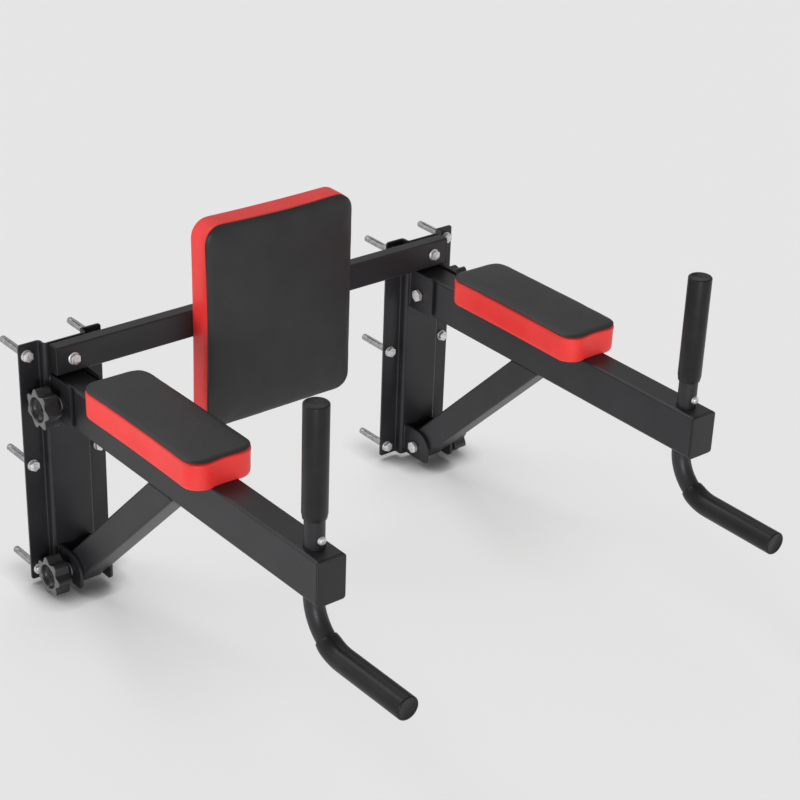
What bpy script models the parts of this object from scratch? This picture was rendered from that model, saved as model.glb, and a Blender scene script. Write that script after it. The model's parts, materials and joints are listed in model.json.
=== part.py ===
"""Wall-mounted pull-up and dip station: two wall brackets, a crossbar with a back pad, two removable arms.

Metres, +Z up. The wall is the plane y = 0 and the user stands at -Y. x = 0 is midway between the
brackets and z = 0 is their lower edge.
"""

import math

import bmesh
import bpy
from mathutils import Matrix, Vector

# Driving dimensions
ARM_SPACING = 0.600
GAP = 0.0003

BRACKET_WIDTH = 0.122
BRACKET_HEIGHT = 0.3515
BRACKET_SHEET = 0.003
BRACKET_CORNER = 0.004
WEB_WIDTH = 0.064
WEB_FRONT = 0.016
BEND_INNER = 0.002

FORK_OPENING = 0.042
EAR_THICKNESS = 0.004
EAR_ROOT = 0.0145
UPPER_EAR_Z = (0.247, 0.307)
UPPER_EAR_REACH = 0.066
LOWER_EAR_Z = (0.004, 0.050)
LOWER_EAR_REACH = 0.070
EAR_CORNER = 0.007
LOWER_EAR_TOP_CORNER = 0.024

UPPER_BOLT_YZ = (-0.036, 0.2725)
LOWER_BOLT_YZ = (-0.040, 0.022)
BOLT_DIAMETER = 0.010
BOLT_CLEARANCE = 0.0106
BOLT_HEAD_FLATS = 0.016
BOLT_HEAD_HEIGHT = 0.0064
BOLT_CHAMFER = 0.001
KNOB_ENGAGEMENT = 0.020

KNOB_LOBES = 7
KNOB_DIAMETER = 0.056
KNOB_LOBE_DEPTH = 0.007
KNOB_LEAN = 12.5
KNOB_THICKNESS = 0.030
KNOB_EDGE = 0.002
KNOB_DISH_DIAMETER = 0.036
KNOB_DISH_DEPTH = 0.008
KNOB_HUB_DIAMETER = 0.024
KNOB_HUB_HEIGHT = 0.008
WASHER_DIAMETER = 0.020
WASHER_THICKNESS = 0.002

ARM_WIDTH = 0.040
ARM_HEIGHT = 0.060
ARM_TOP = 0.305
ARM_FRONT = 0.585
ARM_REAR = 0.0175
ARM_WALL = 0.002
ARM_CORNER = 0.004
PLUG_FLANGE = 0.003
PLUG_DEPTH = 0.012
PLUG_PLAY = 0.0003

BRACE_SIZE = 0.040
BRACE_FOOT = 0.003
BRACE_REAR_PLAY = 0.001
BRACE_BELOW_BOLT = 0.080
BRACE_ABOVE_BOLT = 0.420
TRIM_BLOCK = 0.400

CROSSBAR_LENGTH = 0.646
CROSSBAR_HEIGHT = 0.040
CROSSBAR_DEPTH = 0.020
CROSSBAR_TOP = 0.351
CROSSBAR_WALL = 0.002
CROSSBAR_CORNER = 0.003
CROSSBAR_PLUG_FLANGE = 0.002

FLANGE_BOLT_DIAMETER = 0.008
FLANGE_BOLT_HOLE = 0.0086
FLANGE_BOLT_FLANGE = 0.0168
FLANGE_BOLT_FLATS = 0.013
FLANGE_BOLT_FLANGE_HEIGHT = 0.0016
FLANGE_BOLT_HEAD_HEIGHT = 0.0060
FLANGE_BOLT_NUT_HEIGHT = 0.0065
FLANGE_BOLT_SPARE = 0.0030

ANCHOR_HALF_PITCH = 0.050
ANCHOR_HEIGHTS = (0.015, 0.175, 0.335)
ANCHOR_STUD = 0.008
ANCHOR_HOLE = 0.011
ANCHOR_SLEEVE = 0.010
ANCHOR_REACH = 0.058
ANCHOR_NUT_FLATS = 0.013
ANCHOR_NUT_HEIGHT = 0.0055
ANCHOR_WASHER_DIAMETER = 0.016
ANCHOR_WASHER_THICKNESS = 0.0015
ANCHOR_TIP = 0.0108
ANCHOR_CHAMFER = 0.0005

CUSHION_WIDTH = 0.094
CUSHION_LENGTH = 0.255
CUSHION_EDGE = 0.035
CUSHION_CROWN = 0.005
CUSHION_CORNER = 0.024
CUSHION_REAR = 0.1245
CUSHION_PULL = 0.0015
CUSHION_SCREW_REAR = 0.190
CUSHION_SCREW_FRONT = 0.340

BACK_PAD_WIDTH = 0.240
BACK_PAD_HEIGHT = 0.296
BACK_PAD_EDGE = 0.035
BACK_PAD_CROWN = 0.008
BACK_PAD_CORNER = 0.029
BACK_PAD_PULL = 0.001
BACK_PAD_CENTRE_Z = 0.333
BACK_PAD_SCREW_X = 0.060

BOARD_THICKNESS = 0.012
SCREW_DIAMETER = 0.006
SCREW_HOLE = 0.0066
SCREW_BITE = 0.010
BOARD_INSET = 0.006

HANDLE_Y = 0.554
HANDLE_DIAMETER = 0.025
HANDLE_WALL = 0.002
HANDLE_BEND_RADIUS = 0.060
HANDLE_SIDES = 16
BEND_STEPS = 4
GRIP_BEND_STEPS = 4
LOWER_GRIP_Z = 0.181
LOWER_GRIP_END = 0.730
LOWER_GRIP_LENGTH = 0.153
UPRIGHT_GRIP_TOP = 0.487
UPRIGHT_GRIP_LENGTH = 0.145
GRIP_DIAMETER = 0.031
GRIP_TAPER = 0.006
GRIP_LIP = 0.0012
GRIP_END_WALL = 0.004
GRIP_EDGE = 0.0025
HANDLE_SCREW_HEIGHT = 0.013
HANDLE_SCREW_HEAD = 0.0104
HANDLE_SCREW_HEAD_HEIGHT = 0.0048
HANDLE_SCREW_LENGTH = 0.008

HALF_TURN = math.pi
QUARTER_TURN = math.pi / 2
CUT_MARGIN = 0.004
WELD_DEPTH = 0.0005

SIDES = {"left": -1, "right": 1}


def clear_scene():
    for thing in list(bpy.data.objects):
        bpy.data.objects.remove(thing, do_unlink=True)


def finish(name, srgb, roughness, metallic=0.0):
    """A Principled material from an sRGB hex colour."""
    found = bpy.data.materials.get(name)
    if found:
        return found
    made = bpy.data.materials.new(name)
    made.use_nodes = True
    shader = made.node_tree.nodes["Principled BSDF"]
    channels = [((srgb >> shift) & 255) / 255 for shift in (16, 8, 0)]
    linear = [c / 12.92 if c <= 0.04045 else ((c + 0.055) / 1.055) ** 2.4 for c in channels]
    shader.inputs["Base Color"].default_value = (*linear, 1)
    shader.inputs["Roughness"].default_value = roughness
    shader.inputs["Metallic"].default_value = metallic
    made.diffuse_color = (*linear, 1)
    return made


def powder_coat():
    return finish("charcoal powder coat", 0x333335, 0.45)


def black_plastic():
    return finish("black moulded plastic", 0x2A2A2C, 0.5)


def zinc():
    return finish("zinc-plated steel", 0xC9CBCE, 0.3, 1.0)


def grip_rubber():
    return finish("black grip rubber", 0x2B2B2D, 0.6)


def vinyl():
    return finish("red and black vinyl", 0xE23A3A, 0.5)


def plywood():
    return finish("plywood", 0xB08A5C, 0.7)


# Outlines in a plane


def arc(centre, radius, start, end, steps):
    """Points along a round stretch, angles in radians."""
    points = []
    for step in range(steps + 1):
        angle = start + (end - start) * step / steps
        points.append((centre[0] + radius * math.cos(angle), centre[1] + radius * math.sin(angle)))
    return points


def circle(radius, sides, flats=False):
    """A regular polygon: its corners on the radius, or with flats its faces."""
    reach = radius / math.cos(HALF_TURN / sides) if flats else radius
    return arc((0, 0), reach, 0, 2 * HALF_TURN, sides)[:-1]


def rounded(corners, radii, steps=3):
    """A polygon whose corners become arcs of the given radii; 0 keeps a corner sharp."""
    points = []
    for index, corner in enumerate(corners):
        here = Vector(corner)
        before = Vector(corners[index - 1])
        after = Vector(corners[(index + 1) % len(corners)])
        radius = radii[index] if isinstance(radii, (list, tuple)) else radii
        if radius == 0:
            points.append(tuple(here))
            continue
        to_before = (before - here).normalized()
        to_after = (after - here).normalized()
        half = to_before.angle(to_after) / 2
        centre = here + (to_before + to_after).normalized() * (radius / math.sin(half))
        start = here + to_before * (radius / math.tan(half))
        end = here + to_after * (radius / math.tan(half))
        first = math.atan2(*(start - centre).yx)
        turn = (math.atan2(*(end - centre).yx) - first + HALF_TURN) % (2 * HALF_TURN) - HALF_TURN
        points.extend(arc(centre, radius, first, first + turn, steps))
    return points


def rectangle(width, height):
    x = width / 2
    y = height / 2
    return [(-x, -y), (x, -y), (x, y), (-x, y)]


# Meshes


def outward(mesh_edit):
    bmesh.ops.recalc_face_normals(mesh_edit, faces=mesh_edit.faces)


def prism(mesh_edit, outline, low, high):
    """An outline in the XY plane, raised from low to high along Z."""
    ring = [mesh_edit.verts.new((x, y, low)) for x, y in outline]
    base = mesh_edit.faces.new(ring)
    raised = bmesh.ops.extrude_face_region(mesh_edit, geom=[base])
    top = [item for item in raised["geom"] if isinstance(item, bmesh.types.BMVert)]
    bmesh.ops.translate(mesh_edit, vec=(0, 0, high - low), verts=top)


def join_rings(mesh_edit, first, second):
    count = len(first)
    for index in range(count):
        after = (index + 1) % count
        mesh_edit.faces.new((first[index], first[after], second[after], second[index]))


def turned(mesh_edit, profile, sides):
    """A solid turned about Z from (radius, height) points, with a face over each end."""
    rings = []
    for radius, height in profile:
        ring = []
        for index in range(sides):
            angle = 2 * HALF_TURN * index / sides
            point = (radius * math.cos(angle), radius * math.sin(angle), height)
            ring.append(mesh_edit.verts.new(point))
        rings.append(ring)
    for first, second in zip(rings, rings[1:]):
        join_rings(mesh_edit, first, second)
    mesh_edit.faces.new(rings[0])
    mesh_edit.faces.new(rings[-1])


def pipe(mesh_edit, outer, inner, low, high):
    """A length of tube along Z between two outlines with as many points each."""
    rings = []
    for outline, height in ((outer, low), (outer, high), (inner, high), (inner, low)):
        rings.append([mesh_edit.verts.new((x, y, height)) for x, y in outline])
    for first, second in zip(rings, rings[1:] + rings[:1]):
        join_rings(mesh_edit, first, second)


def add_object(name, mesh_edit, material, place=None, smooth=False):
    outward(mesh_edit)
    mesh = bpy.data.meshes.new(name)
    mesh_edit.to_mesh(mesh)
    mesh_edit.free()
    mesh.materials.append(material)
    if smooth:
        mesh.shade_smooth()
        mesh.set_sharp_from_angle(angle=math.radians(35))
    made = bpy.data.objects.new(name, mesh)
    bpy.context.scene.collection.objects.link(made)
    if place is not None:
        made.matrix_world = place
    return made


def cutter(name, mesh_edit, place=None):
    tool = add_object(name, mesh_edit, powder_coat(), place)
    tool.hide_render = True
    tool.display_type = "WIRE"
    return tool


def boolean(target, tool, operation="DIFFERENCE"):
    step = target.modifiers.new(tool.name, "BOOLEAN")
    step.operation = operation
    step.object = tool


def settle(target):
    """Applies the modifiers, so that copies can share the finished mesh, and removes the tools they used."""
    tools = [step.object for step in target.modifiers if step.type == "BOOLEAN"]
    graph = bpy.context.evaluated_depsgraph_get()
    finished = bpy.data.meshes.new_from_object(target.evaluated_get(graph))
    target.modifiers.clear()
    target.data = finished
    for tool in tools:
        bpy.data.objects.remove(tool, do_unlink=True)
    return target


def copy_of(source, name, place):
    made = bpy.data.objects.new(name, source.data)
    bpy.context.scene.collection.objects.link(made)
    made.matrix_world = place
    return made


def at(x, y, z, turn=None):
    place = Matrix.Translation((x, y, z))
    return place @ turn if turn is not None else place


def facing(direction):
    """A turn that brings local Z to the direction, and keeps local X level."""
    forward = Vector(direction).normalized()
    level = Vector((0, 0, 1)).cross(forward)
    sideways = level.normalized() if level.length > 0.5 else Vector((1, 0, 0))
    upwards = forward.cross(sideways)
    return Matrix((sideways, upwards, forward)).transposed().to_4x4()


INTO_WALL = facing((0, 1, 0))
FROM_WALL = facing((0, -1, 0))


# Wall brackets


def hat_outline():
    """The pressed sheet's section: two flanges on the wall, and a raised web between them."""
    half = BRACKET_WIDTH / 2
    side = WEB_WIDTH / 2
    sheet = BRACKET_SHEET
    front = -WEB_FRONT
    corners = [
        (-half, 0),
        (-half, -sheet),
        (-side, -sheet),
        (-side, front),
        (side, front),
        (side, -sheet),
        (half, -sheet),
        (half, 0),
        (side - sheet, 0),
        (side - sheet, front + sheet),
        (-side + sheet, front + sheet),
        (-side + sheet, 0),
    ]
    tight = BEND_INNER
    wide = BEND_INNER + BRACKET_SHEET
    radii = [0, 0, tight, wide, wide, tight, 0, 0, wide, tight, tight, wide]
    return rounded(corners, radii)


def ear_outline(reach, low, high, top_corner):
    """A fork plate's side view as (-y, z), rounded at its two front corners."""
    corners = [(EAR_ROOT, low), (reach, low), (reach, high), (EAR_ROOT, high)]
    return rounded(corners, [0, EAR_CORNER, top_corner, 0], steps=5)


def add_ear(bracket, label, centre, reach, z_range, top_corner):
    for hand in (-1, 1):
        edit = bmesh.new()
        inner = FORK_OPENING / 2
        prism(edit, ear_outline(reach, *z_range, top_corner), 0, EAR_THICKNESS)
        start = centre + hand * inner - (EAR_THICKNESS if hand < 0 else 0)
        # local X is -Y, local Y is up and local Z is +X
        turn = Matrix(((0, 0, 1, 0), (-1, 0, 0, 0), (0, 1, 0, 0), (0, 0, 0, 1)))
        name = f"{bracket.name}_{label}_ear_{'outer' if hand > 0 else 'inner'}"
        boolean(bracket, cutter(name, edit, at(start, 0, 0, turn)), "UNION")


def bracket_holes(side, centre):
    """Round holes for the anchors, the crossbar bolt and the two fork bolts, as one tool."""
    edit = bmesh.new()
    along_y = [(centre, CROSSBAR_TOP - CROSSBAR_HEIGHT / 2, FLANGE_BOLT_HOLE)]
    for offset in (-ANCHOR_HALF_PITCH, ANCHOR_HALF_PITCH):
        for height in ANCHOR_HEIGHTS:
            along_y.append((centre + offset, height, ANCHOR_HOLE))
    for x, z, diameter in along_y:
        place = at(x, -WEB_FRONT / 2, z, INTO_WALL)
        bmesh.ops.create_cone(
            edit, cap_ends=True, segments=12, radius1=diameter / 2, radius2=diameter / 2,
            depth=WEB_FRONT + 2 * CUT_MARGIN, matrix=place)
    radius = BOLT_CLEARANCE / 2
    for y, z in (UPPER_BOLT_YZ, LOWER_BOLT_YZ):
        place = at(centre, y, z, facing((1, 0, 0)))
        bmesh.ops.create_cone(
            edit, cap_ends=True, segments=12, radius1=radius, radius2=radius,
            depth=WEB_WIDTH, matrix=place)
    return cutter(f"bracket_{side}_holes", edit)


def wall_bracket(side, centre):
    edit = bmesh.new()
    prism(edit, hat_outline(), 0, BRACKET_HEIGHT)
    corner_edges = []
    for edge in edit.edges:
        first, second = (vert.co for vert in edge.verts)
        along_y = abs(first.x - second.x) < GAP and abs(first.z - second.z) < GAP
        if along_y and abs(first.x) > BRACKET_WIDTH / 2 - GAP:
            corner_edges.append(edge)
    bmesh.ops.bevel(
        edit, geom=corner_edges, offset=BRACKET_CORNER, segments=3, profile=0.5, affect="EDGES",
        material=-1)
    bracket = add_object(f"bracket_{side}", edit, powder_coat(), at(centre, 0, 0), smooth=True)
    add_ear(bracket, "upper", centre, UPPER_EAR_REACH, UPPER_EAR_Z, EAR_CORNER)
    add_ear(bracket, "lower", centre, LOWER_EAR_REACH, LOWER_EAR_Z, LOWER_EAR_TOP_CORNER)
    boolean(bracket, bracket_holes(side, centre))


def anchor_mesh():
    """An expansion anchor along Z into the wall: a stud in a sleeve, with washer and nut on the flange."""
    stud = ANCHOR_STUD / 2
    sleeve = ANCHOR_SLEEVE / 2
    washer = ANCHOR_WASHER_DIAMETER / 2
    washer_back = -BRACKET_SHEET - GAP
    washer_front = washer_back - ANCHOR_WASHER_THICKNESS
    profile = [
        (stud - ANCHOR_CHAMFER, -ANCHOR_TIP),
        (stud, -ANCHOR_TIP + ANCHOR_CHAMFER),
        (stud, washer_front),
        (washer, washer_front),
        (washer, washer_back),
        (sleeve, washer_back),
        (sleeve, ANCHOR_REACH - 2 * ANCHOR_CHAMFER),
        (sleeve - 2 * ANCHOR_CHAMFER, ANCHOR_REACH),
    ]
    edit = bmesh.new()
    turned(edit, profile, 8)
    anchor = add_object("anchor_left_1", edit, zinc(), smooth=True)
    nut_edit = bmesh.new()
    hexagon = circle(ANCHOR_NUT_FLATS / 2, 6, flats=True)
    prism(nut_edit, hexagon, washer_front - ANCHOR_NUT_HEIGHT, washer_front + WELD_DEPTH)
    boolean(anchor, cutter("anchor_nut", nut_edit), "UNION")
    return settle(anchor)


def anchors():
    first = anchor_mesh()
    for side, sign in SIDES.items():
        number = 0
        for height in reversed(ANCHOR_HEIGHTS):
            for offset in (-ANCHOR_HALF_PITCH, ANCHOR_HALF_PITCH):
                number += 1
                place = at(sign * ARM_SPACING / 2 + offset, 0, height, INTO_WALL)
                name = f"anchor_{side}_{number}"
                if name == first.name:
                    first.matrix_world = place
                else:
                    copy_of(first, name, place)


# Square tubes and their plugs


def square_tube(name, width, height, wall, corner, length, place):
    """A tube along local Z, width along local X, centred on the local origin's line."""
    edit = bmesh.new()
    outer = rounded(rectangle(width, height), corner)
    inner = rounded(rectangle(width - 2 * wall, height - 2 * wall), corner - wall / 2)
    pipe(edit, outer, inner, 0, length)
    return add_object(name, edit, powder_coat(), place, smooth=True)


def drill(target, label, drills):
    """Cuts round holes: each drill is (place, diameter, depth along local Z, both ways)."""
    edit = bmesh.new()
    for place, diameter, depth in drills:
        bmesh.ops.create_cone(
            edit, cap_ends=True, segments=12 if diameter < WASHER_DIAMETER else HANDLE_SIDES,
            radius1=diameter / 2, radius2=diameter / 2, depth=2 * depth, matrix=place)
    boolean(target, cutter(f"{target.name}_{label}", edit))


def end_plug(name, width, height, wall, corner, flange, place):
    """A moulded plug: a flange over the tube's end and a hollow body inside it."""
    edit = bmesh.new()
    prism(edit, rounded(rectangle(width, height), corner), 0, flange)
    plug = add_object(name, edit, black_plastic(), place, smooth=True)
    body_edit = bmesh.new()
    body_width = width - 2 * wall - 2 * PLUG_PLAY
    body_height = height - 2 * wall - 2 * PLUG_PLAY
    outer = rounded(rectangle(body_width, body_height), corner - wall / 2)
    inner = rounded(rectangle(body_width - 2 * wall, body_height - 2 * wall), corner / 4)
    pipe(body_edit, outer, inner, -PLUG_DEPTH, flange / 2)
    boolean(plug, cutter(f"{name}_body", body_edit, place), "UNION")
    return plug


# Crossbar


def crossbar():
    centre_y = -WEB_FRONT - GAP - CROSSBAR_DEPTH / 2
    centre_z = CROSSBAR_TOP - CROSSBAR_HEIGHT / 2
    along_x = facing((1, 0, 0))
    bar = square_tube(
        "crossbar", CROSSBAR_DEPTH, CROSSBAR_HEIGHT, CROSSBAR_WALL, CROSSBAR_CORNER, CROSSBAR_LENGTH,
        at(-CROSSBAR_LENGTH / 2, centre_y, centre_z, along_x))
    drills = []
    for x, diameter in (
        (-ARM_SPACING / 2, FLANGE_BOLT_HOLE),
        (ARM_SPACING / 2, FLANGE_BOLT_HOLE),
        (-BACK_PAD_SCREW_X, SCREW_HOLE),
        (BACK_PAD_SCREW_X, SCREW_HOLE),
    ):
        drills.append((at(x, centre_y, centre_z, INTO_WALL), diameter, CROSSBAR_DEPTH))
    drill(bar, "holes", drills)
    for side, sign in SIDES.items():
        place = at(sign * (CROSSBAR_LENGTH / 2 + GAP), centre_y, centre_z, facing((sign, 0, 0)))
        end_plug(
            f"crossbar_plug_{side}", CROSSBAR_DEPTH, CROSSBAR_HEIGHT, CROSSBAR_WALL, CROSSBAR_CORNER,
            CROSSBAR_PLUG_FLANGE, place)
        crossbar_bolt(side, at(sign * ARM_SPACING / 2, centre_y, centre_z))


def crossbar_bolt(side, centre):
    """A flanged hex bolt through the bar and the bracket's web, and its nut inside the bracket."""
    front = CROSSBAR_DEPTH / 2 + GAP
    shank = FLANGE_BOLT_DIAMETER / 2
    flange = FLANGE_BOLT_FLANGE / 2
    nut_back = CROSSBAR_DEPTH / 2 + GAP + BRACKET_SHEET + GAP
    nut_front = nut_back + FLANGE_BOLT_NUT_HEIGHT
    profile = [
        (flange * 0.85, -front - FLANGE_BOLT_FLANGE_HEIGHT),
        (flange, -front - FLANGE_BOLT_FLANGE_HEIGHT / 3),
        (flange, -front),
        (shank, -front),
        (shank, nut_front + FLANGE_BOLT_SPARE),
    ]
    edit = bmesh.new()
    turned(edit, profile, 16)
    place = centre @ INTO_WALL
    bolt = add_object(f"crossbar_bolt_{side}", edit, zinc(), place, smooth=True)
    head_edit = bmesh.new()
    hexagon = circle(FLANGE_BOLT_FLATS / 2, 6, flats=True)
    prism(head_edit, hexagon, -front - FLANGE_BOLT_HEAD_HEIGHT, -front - FLANGE_BOLT_FLANGE_HEIGHT / 2)
    boolean(bolt, cutter(f"crossbar_bolt_{side}_head", head_edit, place), "UNION")
    nut_edit = bmesh.new()
    bore = circle(shank + GAP, 6, flats=True)
    pipe(nut_edit, hexagon, bore, nut_back, nut_front)
    add_object(f"crossbar_nut_{side}", nut_edit, zinc(), place)


# Arms


def arm(side, centre):
    centre_z = ARM_TOP - ARM_HEIGHT / 2
    length = ARM_FRONT - ARM_REAR
    tube = square_tube(
        f"arm_{side}", ARM_WIDTH, ARM_HEIGHT, ARM_WALL, ARM_CORNER, length,
        at(centre, -ARM_REAR, centre_z, FROM_WALL))
    bolt_y, bolt_z = UPPER_BOLT_YZ
    drills = [
        (at(centre, -HANDLE_Y, centre_z), HANDLE_DIAMETER + 2 * GAP, ARM_HEIGHT),
        (at(centre, bolt_y, bolt_z, facing((1, 0, 0))), BOLT_CLEARANCE, ARM_WIDTH),
        (at(centre, -CUSHION_SCREW_REAR, centre_z), SCREW_HOLE, ARM_HEIGHT),
        (at(centre, -CUSHION_SCREW_FRONT, centre_z), SCREW_HOLE, ARM_HEIGHT),
    ]
    drill(tube, "holes", drills)
    end_plug(
        f"arm_plug_{side}", ARM_WIDTH, ARM_HEIGHT, ARM_WALL, ARM_CORNER, PLUG_FLANGE,
        at(centre, -ARM_FRONT - GAP, centre_z, FROM_WALL))


def brace(side, centre):
    """A square tube at 45 degrees on the lower bolt, cut level under the arm and upright at the bracket."""
    bolt_y, bolt_z = LOWER_BOLT_YZ
    climb = facing((0, -1, 1))
    start = Vector((centre, bolt_y, bolt_z)) - Vector((0, -1, 1)).normalized() * BRACE_BELOW_BOLT
    tube = square_tube(
        f"brace_{side}", BRACE_SIZE, BRACE_SIZE, ARM_WALL, ARM_CORNER, BRACE_BELOW_BOLT + BRACE_ABOVE_BOLT,
        at(*start, climb))
    half = TRIM_BLOCK / 2
    top = ARM_TOP - ARM_HEIGHT - GAP
    back = -ARM_REAR - BRACE_REAR_PLAY
    blocks = {
        "top": (centre, back - half, top + half),
        "back": (centre, back + half, 0),
        "foot": (centre, back - half, BRACE_FOOT - half),
    }
    for end, middle in blocks.items():
        edit = bmesh.new()
        bmesh.ops.create_cube(edit, size=TRIM_BLOCK)
        boolean(tube, cutter(f"brace_{side}_{end}", edit, at(*middle)))
    drill(tube, "hole", [(at(centre, bolt_y, bolt_z, facing((1, 0, 0))), BOLT_CLEARANCE, BRACE_SIZE)])


# Cushions


def cushion_outline(width, length, corner, pull, inset=0.0):
    """A rounded rectangle whose sides draw in between its corners."""
    half_width = width / 2 - inset
    half_length = length / 2 - inset
    radius = max(corner - inset, 0.004)
    side_steps = 6
    corner_steps = 5
    points = []
    for quarter in range(4):
        angle = quarter * QUARTER_TURN
        sign_x = 1 if quarter in (0, 3) else -1
        sign_y = 1 if quarter in (0, 1) else -1
        centre = (sign_x * (half_width - radius), sign_y * (half_length - radius))
        points.extend(arc(centre, radius, angle, angle + QUARTER_TURN, corner_steps))
        straight = (half_width if quarter % 2 == 0 else half_length) - radius
        span = 2 * straight
        for step in range(1, side_steps):
            share = step / side_steps
            drawn = pull * math.sin(HALF_TURN * share)
            along = straight - span * share
            if quarter == 0:
                points.append((along, half_length - drawn))
            elif quarter == 1:
                points.append((-half_width + drawn, along))
            elif quarter == 2:
                points.append((-along, -half_length + drawn))
            else:
                points.append((half_width - drawn, -along))
    return points


def cushion(name, width, length, edge, crown, corner, pull, place):
    """A crowned pad on local Z, hollowed underneath for its board."""
    # Each layer is how far the outline is drawn in, and its height.
    layers = [
        (0.0030, 0.0),
        (0.0008, 0.0012),
        (0.0, 0.3 * edge),
        (0.0, 0.8 * edge),
        (0.0006, edge),
    ]
    edit = bmesh.new()
    rings = []
    for inset, height in layers:
        outline = cushion_outline(width, length, corner, pull, inset)
        rings.append([edit.verts.new((x, y, height)) for x, y in outline])
    reach = min(width, length) / 2
    for share in (0.06, 0.16, 0.34, 0.6):
        rise = crown * (1 - (1 - share) ** 3)
        inset = share * reach
        outline = cushion_outline(width, length, corner + 0.7 * inset, pull * (1 - share), inset)
        rings.append([edit.verts.new((x, y, edge + rise)) for x, y in outline])
    for first, second in zip(rings, rings[1:]):
        join_rings(edit, first, second)
    edit.faces.new(rings[0])
    edit.faces.new(rings[-1])
    pad = add_object(name, edit, vinyl(), place, smooth=True)
    pocket_edit = bmesh.new()
    pocket = cushion_outline(width, length, corner, 0, BOARD_INSET - GAP)
    prism(pocket_edit, pocket, -CUT_MARGIN, BOARD_THICKNESS + GAP)
    boolean(pad, cutter(f"{name}_pocket", pocket_edit, place))
    return pad


def board(name, width, length, corner, place):
    edit = bmesh.new()
    prism(edit, cushion_outline(width, length, corner, 0, BOARD_INSET), 0, BOARD_THICKNESS)
    return add_object(name, edit, plywood(), place)


def pan_screw(name, length, place):
    """A button-head screw along local Z from the underside of its head."""
    radius = SCREW_DIAMETER / 2
    head = radius * 1.8
    height = radius * 1.1
    profile = [
        (head * 0.45, -height),
        (head * 0.85, -height * 0.7),
        (head, 0),
        (radius, 0),
        (radius, length - radius / 2),
        (radius / 2, length),
    ]
    edit = bmesh.new()
    turned(edit, profile, 12)
    return add_object(name, edit, zinc(), place, smooth=True)


def arm_cushion(side, centre):
    middle_y = -CUSHION_REAR - CUSHION_LENGTH / 2
    place = at(centre, middle_y, ARM_TOP + GAP)
    cushion(
        f"arm_cushion_{side}", CUSHION_WIDTH, CUSHION_LENGTH, CUSHION_EDGE, CUSHION_CROWN, CUSHION_CORNER,
        CUSHION_PULL, place)
    base = board(f"arm_cushion_board_{side}", CUSHION_WIDTH, CUSHION_LENGTH, CUSHION_CORNER, place)
    underside = ARM_TOP - ARM_HEIGHT - GAP
    drills = []
    for end, y in (("rear", -CUSHION_SCREW_REAR), ("front", -CUSHION_SCREW_FRONT)):
        drills.append((at(centre, y, ARM_TOP), SCREW_HOLE, 2 * BOARD_THICKNESS))
        length = ARM_TOP + SCREW_BITE - underside
        pan_screw(f"arm_cushion_screw_{side}_{end}", length, at(centre, y, underside))
    drill(base, "holes", drills)


def back_pad():
    face_y = -WEB_FRONT - GAP - CROSSBAR_DEPTH - GAP
    place = at(0, face_y, BACK_PAD_CENTRE_Z, FROM_WALL)
    cushion(
        "back_pad", BACK_PAD_WIDTH, BACK_PAD_HEIGHT, BACK_PAD_EDGE, BACK_PAD_CROWN, BACK_PAD_CORNER,
        BACK_PAD_PULL, place)
    base = board("back_pad_board", BACK_PAD_WIDTH, BACK_PAD_HEIGHT, BACK_PAD_CORNER, place)
    centre_z = CROSSBAR_TOP - CROSSBAR_HEIGHT / 2
    rear_y = -WEB_FRONT
    drills = []
    for side, sign in SIDES.items():
        x = sign * BACK_PAD_SCREW_X
        drills.append((at(x, face_y, centre_z, FROM_WALL), SCREW_HOLE, 2 * BOARD_THICKNESS))
        pan_screw(f"back_pad_screw_{side}", CROSSBAR_DEPTH + SCREW_BITE, at(x, rear_y, centre_z, FROM_WALL))
    drill(base, "holes", drills)


# Handles


def bend_station(angle):
    """A point of the handle's centre line in its bend, as (-y, z, angle of travel)."""
    out = HANDLE_Y + HANDLE_BEND_RADIUS * (1 - math.cos(angle))
    height = LOWER_GRIP_Z + HANDLE_BEND_RADIUS * (1 - math.sin(angle))
    return (out, height, angle)


def bend_stations(start, end, steps):
    return [bend_station(start + (end - start) * step / steps) for step in range(steps + 1)]


def lower_grip_start():
    """The angle in the bend where the lower grip begins."""
    straight = LOWER_GRIP_END - HANDLE_Y - HANDLE_BEND_RADIUS
    return QUARTER_TURN - (LOWER_GRIP_LENGTH - straight) / HANDLE_BEND_RADIUS


def handle_route():
    """The tube's centre line, down through the arm and forward under it."""
    start = lower_grip_start()
    stations = [(HANDLE_Y, UPRIGHT_GRIP_TOP - GRIP_END_WALL - GAP, 0.0)]
    stations.extend(bend_stations(0.0, start, BEND_STEPS)[:-1])
    stations.extend(bend_stations(start, QUARTER_TURN, GRIP_BEND_STEPS))
    stations.append((LOWER_GRIP_END - GRIP_END_WALL - GAP, LOWER_GRIP_Z, QUARTER_TURN))
    return stations


def route_ring(mesh_edit, centre, station, radius, sides):
    """A ring square to the route; at angle 0 the tube runs down, at a quarter turn it runs to -Y."""
    out, height, angle = station
    lift = (math.cos(angle), math.sin(angle))
    ring = []
    for index in range(sides):
        turn = 2 * HALF_TURN * index / sides
        across = radius * math.cos(turn)
        up = radius * math.sin(turn)
        ring.append(mesh_edit.verts.new((centre + across, -(out + up * lift[0]), height + up * lift[1])))
    return ring


def swept(name, centre, outer_path, inner_path, material, closed_end, sides=HANDLE_SIDES):
    """A tube along stations with a radius each; with closed_end its last outer ring is capped."""
    edit = bmesh.new()
    outer = [route_ring(edit, centre, station, radius, sides) for station, radius in outer_path]
    inner = [route_ring(edit, centre, station, radius, sides) for station, radius in inner_path]
    for rings in (outer, inner):
        for first, second in zip(rings, rings[1:]):
            join_rings(edit, first, second)
    join_rings(edit, outer[0], inner[0])
    if closed_end:
        edit.faces.new(outer[-1])
        edit.faces.new(inner[-1])
    else:
        join_rings(edit, outer[-1], inner[-1])
    return add_object(name, edit, material, smooth=True)


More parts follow.
